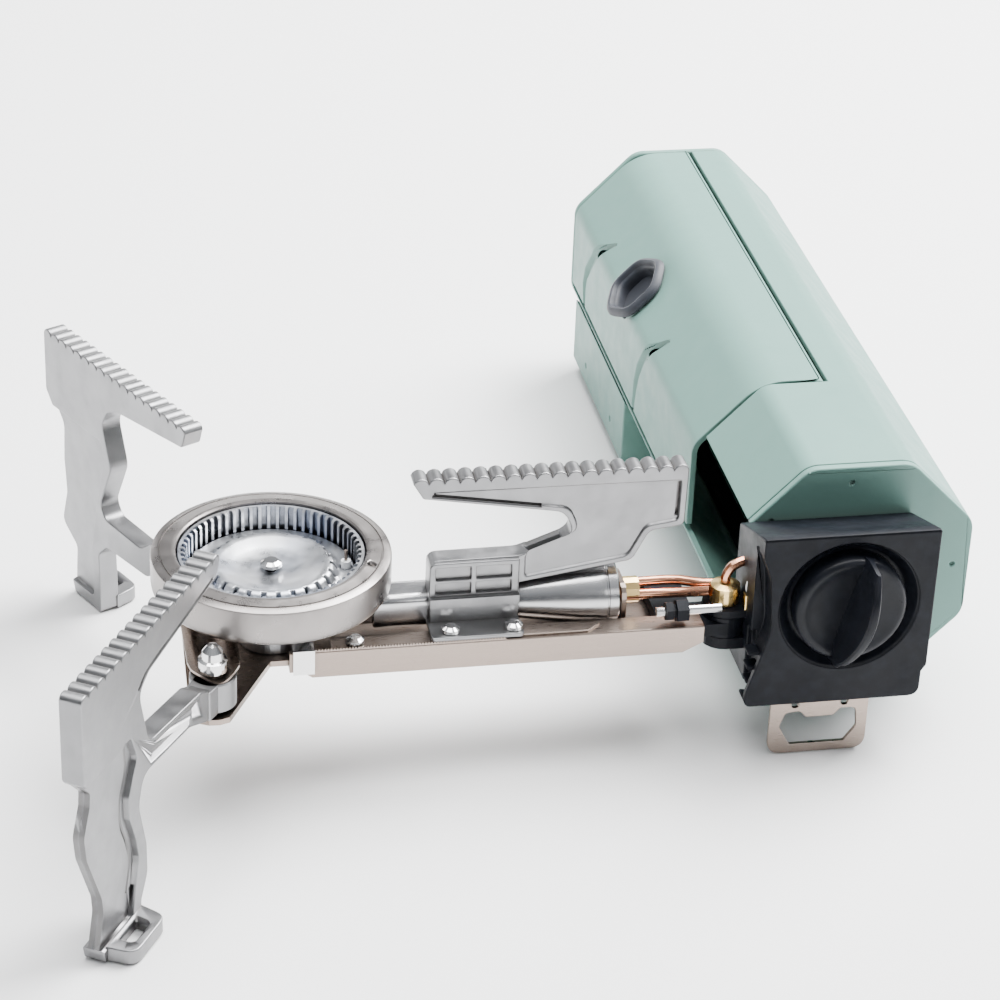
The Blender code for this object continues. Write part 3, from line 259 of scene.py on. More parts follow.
def sunk_panel(name, outline, face, out, depth, lip=0.5, plane="XZ", turn=None):
    """Cutter for a panel sunk into a face: a rounded lip at the top, a slight draft below."""
    rows = ((1.0, -lip), (0.0, -lip), (-0.35 * lip, -0.3 * lip), (-lip, 0.0), (-depth, 0.35))
    sections = [[in_plane(plane, a, b, face + out * rise) for a, b in inset(outline, into)] for rise,
                into in rows]
    return loft(name, sections, turn)


def ribbon(points, width):
    """Closed outline of a band of even width along an open run of points."""
    here = [Vector(point) for point in points]
    left, right = [], []
    for i, point in enumerate(here):
        along = (here[min(i + 1, len(here) - 1)] - here[max(i - 1, 0)]).normalized()
        side = Vector((-along.y, along.x)) * width / 2
        left.append(tuple(point + side))
        right.append(tuple(point - side))
    return left + right[::-1]


def tube_along(name, path, radius, segments=20, steps=10):
    """Round tube on a smooth curve through the path's points."""
    line = smooth_run(path, steps)
    sections = []
    across = None
    for i, place in enumerate(line):
        along = (line[min(i + 1, len(line) - 1)] - line[max(i - 1, 0)]).normalized()
        guide = across if across else (Vector((0, 0, 1)) if abs(along.z) < 0.9 else Vector((1, 0, 0)))
        across = (guide - along * guide.dot(along)).normalized()
        other = along.cross(across)
        turns = [2 * pi * k / segments for k in range(segments)]
        sections.append([place + (across * cos(a) + other * sin(a)) * radius for a in turns])
    return loft(name, sections)


def gather(body, parts):
    """Add the parts' meshes to the body's, as touching pieces of one moulding."""
    bm = bmesh.new()
    for piece in [body] + parts:
        bm.from_mesh(piece.data)
    bm.to_mesh(body.data)
    bm.free()
    for part in parts:
        bpy.data.objects.remove(part, do_unlink=True)
    return body


def box_piece(name, low, high, turn=None):
    """Square block between two corners."""
    outline = [(low[0], low[1]), (high[0], low[1]), (high[0], high[1]), (low[0], high[1])]
    return prism(name, outline, low[2], high[2], "XY", turn)


def loft(name, sections, turn=None):
    """Skin over closed sections that all have as many points; both ends are closed."""
    bm = bmesh.new()
    rings = [[bm.verts.new(point) for point in section] for section in sections]
    count = len(rings[0])
    for first, second in zip(rings, rings[1:]):
        for i in range(count):
            j = (i + 1) % count
            bm.faces.new((first[i], first[j], second[j], second[i]))
    bm.faces.new(rings[0])
    bm.faces.new(rings[-1][::-1])
    return finish_mesh(name, bm, turn)


def turned(name, profile, centre=(0, 0, 0), axis="Z", segments=96, turn=None):
    """Solid of revolution of (radius, height) points: closed round a bore, or ending on the axis."""
    bm = bmesh.new()
    on_axis = profile[0][0] == 0 and profile[-1][0] == 0
    rings = []
    for radius, height in profile:
        steps = segments if radius else 1
        angles = [2 * pi * i / segments for i in range(steps)]
        rings.append([bm.verts.new((radius * cos(a), radius * sin(a), height)) for a in angles])
    for first, second in list(zip(rings, rings[1:])) + ([] if on_axis else [(rings[-1], rings[0])]):
        for i in range(segments):
            j = (i + 1) % segments
            corners = [first[i % len(first)], first[j % len(first)], second[j % len(second)],
                       second[i % len(second)]]
            corners = list(dict.fromkeys(corners))
            if len(corners) > 2:
                bm.faces.new(corners)
    lay = {"Z": Matrix(), "X": Matrix.Rotation(pi / 2, 4, "Y"), "Y": Matrix.Rotation(-pi / 2, 4, "X")}
    place = Matrix.Translation(centre) @ lay[axis]
    return finish_mesh(name, bm, turn @ place if turn else place)


def rod(name, radius, start, end, across=(0, 0), axis="Z", segments=48, turn=None):
    """Round bar from start to end along an axis, at a place across it."""
    centres = {"Z": (across[0], across[1], 0), "X": (0, across[0], across[1]), "Y": (across[0], 0, across[1])}
    return turned(name, [(0, start), (radius, start), (radius, end), (0, end)], centres[axis], axis,
                  segments, turn)


def combine(body, tools, operation="DIFFERENCE", tight=False):
    """Cut the tools from the body, or join them to it, and keep only the result.

    Tight is for outlines whose rims nearly touch each other, as between two ridges."""
    for tool in tools:
        step = body.modifiers.new("combine", "BOOLEAN")
        step.object = tool
        step.operation = operation
        step.use_self = tight
    graph = bpy.context.evaluated_depsgraph_get()
    mesh = bpy.data.meshes.new_from_object(body.evaluated_get(graph))
    body.modifiers.clear()
    if not mesh.polygons:
        raise RuntimeError(body.name + " lost all its faces")
    body.data = mesh
    for tool in tools:
        bpy.data.objects.remove(tool, do_unlink=True)
    return body


def soften(obj, width_mm, segments=3, angle_deg=32):
    """Rounded edges as a live Bevel."""
    bevel = obj.modifiers.new("rounded_edges", "BEVEL")
    bevel.width = width_mm * MM
    bevel.segments = segments
    bevel.limit_method = "ANGLE"
    bevel.angle_limit = radians(angle_deg)
    bevel.use_clamp_overlap = False
    bevel.harden_normals = True
    bevel.miter_outer = "MITER_ARC"
    return obj


def flatten(obj):
    """Keep large faces flat in their shading, next to rounded rims."""
    weighting = obj.modifiers.new("flat_faces", "WEIGHTED_NORMAL")
    weighting.keep_sharp = True
    weighting.weight = 100
    return obj


def smooth_run(points, steps=8):
    """Open run of points drawn as one smooth curve through them."""
    here = [Vector(point) for point in points]
    ends = [here[0] * 2 - here[1]] + here + [here[-1] * 2 - here[-2]]
    run = []
    for a, b, c, d in zip(ends, ends[1:], ends[2:], ends[3:]):
        for k in range(steps):
            t = k / steps
            run.append(0.5 * (2 * b + (c - a) * t + (2 * a - 5 * b + 4 * c - d) * t ** 2
                              + (3 * b - a - 3 * c + d) * t ** 3))
    return run + [here[-1]]


def rounded(corners, radius, steps=4):
    """Outline with its corners replaced by curves; radius is one number or one per corner."""
    count = len(corners)
    radii = radius if isinstance(radius, (list, tuple)) else [radius] * count
    outline = []
    for i, corner in enumerate(corners):
        here = Vector(corner)
        before = Vector(corners[i - 1]) - here
        after = Vector(corners[(i + 1) % count]) - here
        if radii[i] <= 0:
            outline.append(tuple(here))
            continue
        reach = min(radii[i] / tan(before.angle(after) / 2), before.length * 0.46, after.length * 0.46)
        start = here + before.normalized() * reach
        end = here + after.normalized() * reach
        for k in range(steps + 1):
            t = k / steps
            outline.append(tuple((1 - t) ** 2 * start + 2 * t * (1 - t) * here + t ** 2 * end))
    return outline


def ridge_line(start, end, height, count=RIDGES):
    """Wavy grip: rounded ridges with narrow valleys between them."""
    start, end = Vector(start), Vector(end)
    pitch = (end - start) / count
    shares = (0.0, 0.1, 0.24, 0.42, 0.58, 0.76, 0.9)
    points = []
    for i in range(count):
        for share in shares:
            point = start + pitch * (i + share)
            points.append((point.x, point.y - height * (1 - sin(pi * share) ** 0.55)))
    return points + [(end.x, end.y - height)]


# ---------------------------------------------------------------- materials

class Finish:
    """A Principled material whose grain, gloss, tone, painted shade in recesses and tint are added step by step.
    """

    def __init__(self, name, base, roughness, metallic=0.0, **sockets):
        self.name = name
        self.material = bpy.data.materials.new(name)
        self.material.use_nodes = True
        self.nodes = self.material.node_tree.nodes
        self.links = self.material.node_tree.links
        self.shader = self.nodes["Principled BSDF"]
        self.shader.inputs["Base Color"].default_value = (*base, 1.0)
        self.shader.inputs["Roughness"].default_value = roughness
        self.shader.inputs["Metallic"].default_value = metallic
        for socket, value in sockets.items():
            self.shader.inputs[socket.replace("_", " ")].default_value = value
        self.base = base
        self.place = self.nodes.new("ShaderNodeTexCoord").outputs["Object"]
        self.bump = None
        self.colour_output = None

    def noise(self, scale, detail=5.0, stretch=(1, 1, 1), rough=0.55):
        """Noise over the object; scale is in features per metre."""
        stretcher = self.nodes.new("ShaderNodeMapping")
        stretcher.inputs["Scale"].default_value = stretch
        self.links.new(self.place, stretcher.inputs["Vector"])
        texture = self.nodes.new("ShaderNodeTexNoise")
        texture.inputs["Scale"].default_value = scale
        texture.inputs["Detail"].default_value = detail
        texture.inputs["Roughness"].default_value = rough
        self.links.new(stretcher.outputs["Vector"], texture.inputs["Vector"])
        return texture.outputs["Fac"]

    def rings(self, centre, scale):
        """Concentric turning marks about an upright axis through centre."""
        shift = self.nodes.new("ShaderNodeVectorMath")
        shift.operation = "SUBTRACT"
        shift.inputs[1].default_value = (centre[0], centre[1], 0)
        self.links.new(self.place, shift.inputs[0])
        wave = self.nodes.new("ShaderNodeTexWave")
        wave.wave_type = "RINGS"
        wave.rings_direction = "Z"
        wave.inputs["Scale"].default_value = scale
        wave.inputs["Distortion"].default_value = 0.6
        wave.inputs["Detail"].default_value = 3.0
        self.links.new(shift.outputs["Vector"], wave.inputs["Vector"])
        return wave.outputs["Fac"]

    def relief(self, height, strength, depth_mm):
        """Fine relief from a texture, on top of the relief that is there."""
        bump = self.nodes.new("ShaderNodeBump")
        bump.inputs["Strength"].default_value = strength
        bump.inputs["Distance"].default_value = depth_mm * MM
        self.links.new(height, bump.inputs["Height"])
        if self.bump:
            self.links.new(self.bump.outputs["Normal"], bump.inputs["Normal"])
        self.links.new(bump.outputs["Normal"], self.shader.inputs["Normal"])
        self.bump = bump
        return self

    def remap(self, source, start, end, low, high):
        """A texture's run from start to end, laid out again from low to high."""
        ramp = self.nodes.new("ShaderNodeMapRange")
        for key, value in (("From Min", start), ("From Max", end), ("To Min", low), ("To Max", high)):
            ramp.inputs[key].default_value = value
        self.links.new(source, ramp.inputs["Value"])
        return ramp.outputs["Result"]

    def gloss(self, source, low, high):
        """Roughness between two values by a texture."""
        self.links.new(self.remap(source, 0.3, 0.7, low, high), self.shader.inputs["Roughness"])
        return self

    def shade(self, source, dark, light, start=0.3, end=0.7):
        """Base colour between two shades of the base by a texture."""
        ramp = self.nodes.new("ShaderNodeValToRGB")
        ramp.color_ramp.elements[0].position = start
        ramp.color_ramp.elements[1].position = end
        ramp.color_ramp.elements[0].color = (*[min(1, c * dark) for c in self.base], 1)
        ramp.color_ramp.elements[1].color = (*[min(1, c * light) for c in self.base], 1)
        self.links.new(source, ramp.inputs["Fac"])
        return self.blend_base(ramp.outputs["Color"])

    def blend_base(self, colour_output):
        """Take the base colour from a node from now on."""
        self.links.new(colour_output, self.shader.inputs["Base Color"])
        self.colour_output = colour_output
        return self

    def lay_over(self, share, tone):
        """Second colour over the base, as thick as share says."""
        mix = self.nodes.new("ShaderNodeMix")
        mix.data_type = "RGBA"
        mix.inputs[6].default_value = (*self.base, 1)
        mix.inputs[7].default_value = (*tone, 1)
        if self.colour_output:
            self.links.new(self.colour_output, mix.inputs[6])
        self.links.new(share, mix.inputs[0])
        return self.blend_base(mix.outputs[2])

    def painted_recess_shade(self, tone, reach_mm, amount):
        """Painted shade: darker colour where the surface is hidden in a recess, found by ambient occlusion."""
        hidden = self.nodes.new("ShaderNodeAmbientOcclusion")
        hidden.inputs["Distance"].default_value = reach_mm * MM
        hidden.samples = 8
        return self.lay_over(self.remap(hidden.outputs["AO"], 0.25, 0.85, amount, 0.0), tone)

    def tint(self, source, tone, start, end, amount):
        """Second colour laid over the base by a texture."""
        return self.lay_over(self.remap(source, start, end, 0.0, amount), tone)


FINISHES = {}


def add_finish(name, base, roughness, metallic, grain, gloss=None, tones=None, painted_shade=None, **sockets):
    """One finish of the stove.

    Grain is layers of (noise scale, detail, strength, depth in mm, stretch), gloss is (scale, detail, low,
    high, stretch), tones is (scale, detail, dark, light, start, end), painted_shade is shade painted into recesses
    as (colour, reach in mm, amount)."""
    finish = Finish(name, base, roughness, metallic, **sockets)
    for scale, detail, strength, depth, *stretch in grain:
        finish.relief(finish.noise(scale, detail, *stretch), strength, depth)
    if gloss:
        scale, detail, low, high, *stretch = gloss
        finish.gloss(finish.noise(scale, detail, *stretch), low, high)
    if tones:
        scale, detail, *shades = tones
        finish.shade(finish.noise(scale, detail), *shades)
    # Painted shade: recesses darkened by ambient occlusion.
    if painted_shade:
        finish.painted_recess_shade(*painted_shade)
    FINISHES[name] = finish.material
    return finish


def make_finishes(scene):
    """Every material of the stove, by name."""
    housing, burner, support, control = (getattr(scene, "stove_" + group)
                                         for group in ("housing", "burner", "support", "control"))
    # Its last tuple is painted shade: darker green in recesses, by ambient occlusion.
    add_finish("sage_coating", housing.shell_colour, 0.45, 0.0, [(900, 4, 0.22, 0.05), (35, 3, 0.12, 0.25)],
               (120, 5, 0.4, 0.54), (14, 3, 0.965, 1.03), ((0.13, 0.19, 0.165), 5.0, 0.7),
               Specular_IOR_Level=0.3)
    add_finish("black_moulding", control.plastic_colour, 0.42, 0.0, [(1600, 3, 0.3, 0.04), (60, 3, 0.1, 0.2)],
               (70, 6, 0.34, 0.56), (220, 6, 0.8, 1.35, 0.42, 0.72), Specular_IOR_Level=0.12)
    add_finish("black_dial", control.plastic_colour, 0.33, 0.0, [(700, 4, 0.18, 0.04)], (90, 6, 0.27, 0.48),
               (160, 6, 0.85, 1.3, 0.42, 0.72), Specular_IOR_Level=0.16)
    add_finish("black_rubber", housing.grommet_colour, 0.58, 0.0, [(1200, 3, 0.25, 0.04)], (80, 4, 0.5, 0.68),
               (200, 4, 0.8, 1.5), Sheen_Weight=0.15)
    # Its last tuple is painted shade: darker grey in the casting's recesses, by ambient occlusion.
    add_finish("cast_aluminium", support.cast_colour, 0.4, 1.0, [(1100, 5, 0.16, 0.06), (90, 3, 0.1, 0.2)],
               (160, 6, 0.3, 0.46), (55, 5, 0.92, 1.06), ((0.2, 0.19, 0.185), 3.0, 0.75))
    steel = add_finish("brushed_steel", control.steel_colour, 0.3, 1.0, [(220, 4, 0.05, 0.03, (1, 26, 26))],
                       (220, 5, 0.26, 0.33, (1, 18, 18)))
    # Streaky tone by noise, then painted shade: darker steel in recesses.
    steel.shade(steel.noise(60, 4, (1, 10, 10)), 0.98, 1.02).painted_recess_shade((0.12, 0.11, 0.105), 3.0, 0.7)
    add_finish("brushed_plate", control.steel_colour, 0.32, 1.0, [(200, 4, 0.14, 0.05, (1, 1, 22))],
               (200, 5, 0.24, 0.4, (1, 1, 18)), (80, 4, 0.92, 1.04))
    # Its last tuple is painted shade: dark grey in recesses, by ambient occlusion.
    add_finish("bright_steel", (0.78, 0.775, 0.77), 0.14, 1.0, [(300, 3, 0.05, 0.03)], (70, 6, 0.09, 0.2),
               (45, 4, 0.95, 1.04), ((0.1, 0.1, 0.1), 2.5, 0.7))
    # Its last tuple is painted shade: darker metal in recesses, by ambient occlusion.
    add_finish("drawn_tube", (0.52, 0.52, 0.525), 0.22, 1.0, [(900, 3, 0.04, 0.03)], (260, 5, 0.2, 0.27),
               (40, 4, 0.97, 1.03), ((0.09, 0.085, 0.08), 4.0, 0.6))
    copper = add_finish("copper", (0.80, 0.40, 0.25), 0.2, 1.0, [(400, 3, 0.08, 0.03)], (90, 5, 0.14, 0.3),
                        (70, 5, 0.8, 1.08))
    copper.tint(copper.noise(38, 4), (0.42, 0.17, 0.12), 0.52, 0.75, 0.6)
    add_finish("brass", (0.78, 0.56, 0.24), 0.26, 1.0, [(700, 3, 0.1, 0.03)], (120, 5, 0.2, 0.36),
               (80, 5, 0.85, 1.06))
    add_finish("white_insulation", (0.80, 0.81, 0.83), 0.35, 0.0, [(900, 3, 0.1, 0.03)], None,
               (90, 4, 0.93, 1.02), Coat_Weight=0.3)
    # Its last tuple is painted shade: darker metal in the cup's recesses, by ambient occlusion.
    cup = add_finish("satin_cup", burner.cup_colour, 0.3, 1.0, [], (150, 6, 0.24, 0.38), (50, 5, 0.95, 1.05),
                     ((0.16, 0.15, 0.145), 4.0, 0.6))
    cup.relief(cup.rings(BURNER_AXIS, 900.0), 0.07, 0.03).relief(cup.noise(900, 4), 0.06, 0.03)
    heat = add_finish("heated_steel", (0.55, 0.56, 0.58), 0.32, 1.0, [(800, 4, 0.12, 0.04)],
                      (160, 6, 0.24, 0.42),
                      (60, 5, 0.85, 1.08))
    # Heat tint by noise, then painted shade: near-black blue in recesses.
    heat.tint(heat.noise(30, 4), burner.tint_colour, 0.42, 0.66, 0.4).painted_recess_shade((0.03, 0.035, 0.05), 2.5, 0.9)
    add_finish("dark_magnet", (0.12, 0.12, 0.125), 0.45, 1.0, [(900, 4, 0.2, 0.04)], (130, 5, 0.36, 0.55))


def fit(obj, finish, body, slot, *nodes):
    """Give a piece its finish, its body and the nodes that it stands for; the slot argument is not used."""
    obj.data.materials.clear()
    obj.data.materials.append(FINISHES[finish])
    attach(obj, body)
    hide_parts(*nodes)
    return obj


# ---------------------------------------------------------------- housing

def octagon(inward=0.0, corner=9.0, crown=None):
    """Rounded outline of the housing in X and Z, set in by a wall thickness; the crown is rounded apart."""
    w = (RIGHT_X - LEFT_X) / 2 - inward
    t = OCTAGON_TOP_W / 2 - inward * tan(pi / 8)
    low, high = BASE_Z + inward, TOP_Z - inward
    mid = (BASE_Z + TOP_Z) / 2
    side = OCTAGON_SIDE_H / 2 - inward * tan(pi / 8)
    x = HOUSING_X
    corners = [(x - w, mid - side), (x - w, mid + side), (x - t, high), (x + t, high), (x + w, mid + side),
               (x + w, mid - side), (x + t, low), (x - t, low)]
    plain = max(corner - inward, 1.0)
    top = max((crown or corner) - inward, 1.0)
    return rounded(corners, [plain, plain, top, top, plain, plain, plain, plain], 10)


def tube_wall(name, y_low, y_high, corner, crown=None):
    """Length of the housing's hollow octagon."""
    shell = prism(name, octagon(0.0, corner, crown), y_low, y_high, "XZ")
    core = prism("core", octagon(SHELL_WALL, corner, crown), y_low - 5, y_high + 5, "XZ")
    return combine(shell, [core])


def lid_zone(grow):
    """Region of the cross-section that belongs to the lid: upper left, from the side to the hinge."""
    return [(LEFT_X - 20, LID_LOW_Z - grow), (LEFT_X - 20, TOP_Z + 20), (HINGE_X + grow, TOP_Z + 20),
            (HINGE_X + grow, TOP_Z - 20), (LEFT_X + 25, LID_LOW_Z - grow)]


def groove_cutter(name, bends, depth):
    """Soft groove in the lid's outer face along bends of (y, z, width, share of the depth)."""
    corner_z = (BASE_Z + TOP_Z) / 2 + OCTAGON_SIDE_H / 2
    slant, flat = Vector((-1, 0, 1)).normalized(), Vector((-1, 0, 0))
    path = []
    for y, z, width, share in bends:
        rise = z - corner_z
        if rise > 2.5:
            out, x = slant, LEFT_X + rise
        elif rise < -2.5:
            out, x = flat, LEFT_X
        else:
            out, x = (slant + flat).normalized(), LEFT_X + 0.9 + rise * 0.4
        path.append((Vector((x, y, z)), out, width, share))
    sections = []
    for i, (place, out, width, share) in enumerate(path):
        along = path[min(i + 1, len(path) - 1)][0] - path[max(i - 1, 0)][0]
        side = along.cross(out).normalized()
        sections.append([place + out * 2.0 + side * width * 1.5, place + side * width,
                         place - out * depth * share + side * width * 0.35,
                         place - out * depth * share - side * width * 0.35, place - side * width,
                         place + out * 2.0 - side * width * 1.5])
    return loft(name, sections)


class STOVE_OT_housing(bpy.types.Operator):
    """Sage-green shell with its collar, lid, end plates and cradle"""
    bl_idname = "stove.housing"
    bl_label = "Housing"

    def execute(self, context):
        settings = context.scene.stove_housing
        corner = settings.corner / MM
        edge = settings.edge / MM
        self.make_shell(corner, edge)
        self.make_lid(corner, edge, settings.crown / MM, settings.groove_depth / MM)
        self.make_ends(corner, edge)
        return {"FINISHED"}

    def make_shell(self, corner, edge):
        """Collar and lower shell in one moulding, open for the lid and the arm."""
        shell = tube_wall("shell", SHELL_Y[0], SHELL_Y[1], corner)
        lid_gap = prism("lid_gap", lid_zone(LID_GAP), COLLAR_END_Y, SHELL_Y[1] + 5, "XZ")
        combine(shell, [lid_gap, arm_opening(COLLAR_END_Y + 1)])
        soften(fit(shell, "sage_coating", "housing", "sage_shell", "front_collar", "lower_shell"), edge * 0.6)

    def make_lid(self, corner, edge, crown, depth):
        """Lid with its hinge barrel, two chevron grooves and the hole for the rubber ring."""
        lid = tube_wall("lid_shell", LID_Y[0] + 1.1, LID_Y[1], corner, crown)
        keep = prism("lid_keep", lid_zone(0.0), LID_Y[0] - 3, LID_Y[1] + 3, "XZ")
        combine(lid, [keep], "INTERSECT")
        barrel = rod("barrel", BARREL_R, LID_Y[0], LID_Y[1], (HINGE_X, HINGE_Z), "Y", 24)
        combine(lid, [barrel], "UNION")
        middles = [middle("cable_grommet", axis) for axis in range(3)]
        tilt = Matrix.Translation(middles) @ Matrix.Rotation(-pi / 4, 4, "Y")
        eye = rod("eye", EYE_R, -12, 12, segments=48, turn=tilt)
        y = LID_Y[0]
        front = [(y + 68, 76.0, 0.5, 0.1), (y + 71, 72.6, 2.0, 1.0), (y + 77.5, 65.0, 2.6, 1.0),
                 (y + 84.5, 56.0, 2.7, 1.0), (y + 87.8, 48.0, 2.5, 1.0), (y + 89.2, 38.0, 1.8, 0.8),
                 (y + 89.5, 34.5, 0.5, 0.1)]
        back = [(y + 155, 75.0, 0.5, 0.1), (y + 159, 71.5, 2.0, 1.0), (y + 169, 62.0, 2.6, 1.0),
                (y + 179, 51.5, 2.7, 1.0), (y + 181.2, 45.0, 2.5, 1.0), (y + 179.4, 36.0, 1.8, 0.8),
                (y + 178.6, 32.5, 0.5, 0.1)]
        grooves = [groove_cutter(name, bends, depth) for name,
                   bends in (("groove_front", front), ("groove_back", back))]
        bore = rod("pin_bore", HINGE_PIN_WAY_R, LID_Y[0] - 5, LID_Y[1] + 5, (HINGE_X, HINGE_Z), "Y", 20)
        combine(lid, [eye, bore] + grooves)
        soften(fit(lid, "sage_coating", "lid", "sage_shell", "lid"), edge * 0.6, 3, 26)
        self.make_grommet(tilt)

    def make_grommet(self, tilt):
        """Six-sided rubber ring with rounded corners and a sunken throat."""
        def ring(radius, height, share=0.0):
            points = []
            for i in range(96):
                a = 2 * pi * i / 96
                six = 1 + 0.035 * share * cos(6 * a)
                points.append((radius * six * cos(a) * 0.96, radius * six * sin(a), height))
            return points
        outline = [(10.6, -7.0, 0), (10.6, -2.0, 0.6), (14.2, -2.0, 0.8), (14.5, -1.2, 0.8),
                   (14.1, -0.1, 0.8),
                   (13.2, 0.8, 0.8), (12.3, 1.1, 0.9), (11.6, 0.8, 1), (11.2, 0.1, 1), (10.9, -0.7, 1),
                   (10.4, -1.0, 1), (9.9, -1.8, 1), (9.7, -3.4, 1), (9.7, -7.0, 0.5)]
        bm = bmesh.new()
        rings = [[bm.verts.new(point) for point in ring(*row)] for row in outline]
        for first, second in zip(rings, rings[1:] + rings[:1]):
            for i in range(96):
                j = (i + 1) % 96
                bm.faces.new((first[i], first[j], second[j], second[i]))
        lift = Matrix.Translation((0, 0, 2.8))
        grommet = finish_mesh("grommet", bm, tilt @ lift)
        gather(grommet, [turned("throat", [(0, -2.6), (10.4, -2.6), (10.4, -6.0), (0, -6.0)], turn=tilt)])
        fit(grommet, "black_rubber", "lid", "rubber", "cable_grommet")

    def make_ends(self, corner, edge):
        """Front and rear covers of the octagon; the front one is dimpled and open for arm and knob."""
        plate = prism("front_cover", octagon(0.0, corner), FRONT_Y, SHELL_Y[0] - 0.3, "XZ")
        marks = ((HOUSING_X - 3, TOP_Z - 6.0), (LEFT_X + 11.5, TOP_Z - 19.0), (RIGHT_X - 6.0, TOP_Z - 40.0),
                 (RIGHT_X - 13.0, TOP_Z - 66.0))
        dimples = [rod("dimple_%d" % index, 0.75, FRONT_Y - 1, FRONT_Y + 1.2, mark, "Y", 20)
                   for index, mark in enumerate(marks)]
        shaft = rod("shaft_way", 4.2, FRONT_Y - 2, FRONT_Y + 8, (KNOB_X, KNOB_Z), "Y", 32)
        combine(plate, dimples + [shaft, arm_opening(COLLAR_END_Y)])
        soften(fit(plate, "sage_coating", "housing", "sage_shell", "front_plate"), edge)

        cover = prism("rear_cover", octagon(0.0, corner), SHELL_Y[1] + 0.3, BACK_Y, "XZ")
        soften(fit(cover, "sage_coating", "housing", "sage_shell", "rear_plate"), edge * 1.6, 4)
        self.make_cradle(edge)

    def make_cradle(self, edge):
        """Raised base under the housing's rear."""
        (x_low, x_high), (y_low, y_high), (z_low, z_high) = (span("rear_base", axis) for axis in range(3))
        t = OCTAGON_TOP_W / 2 + 0.15
        outline = [(x_low, z_low + 3.5), (x_low + 3.5, z_low), (x_high - 3.5, z_low), (x_high, z_low + 3.5),
                   (x_high, z_high), (HOUSING_X + t, BASE_Z - 0.3), (HOUSING_X - t, BASE_Z - 0.3),
                   (x_low, z_high)]
        cradle = prism("cradle", rounded(outline, [2, 2, 2, 2, 0, 2, 2, 0]), y_low, y_high, "XZ")
        dimples = [rod("cradle_dimple_%d" % i, 1.0, x_low - 1, x_low + 1.2, (y, z_low + 11), "X", 20)
                   for i, y in enumerate((y_low + 22, y_high - 24))]
        combine(cradle, dimples)
        soften(fit(cradle, "sage_coating", "housing", "sage_shell", "rear_base"), edge)


def arm_opening(y_end):
    """Space in the collar's left side that the arm reaches into."""
    low, high, left, right = 35.0, ARM_OPENING_TOP_Z, LEFT_X - 30, LEFT_X + 7
    return prism("arm_opening", [(left, low), (left, high), (right, high), (right, low)], FRONT_Y - 6, y_end,
                 "XZ")


# ---------------------------------------------------------------- burner

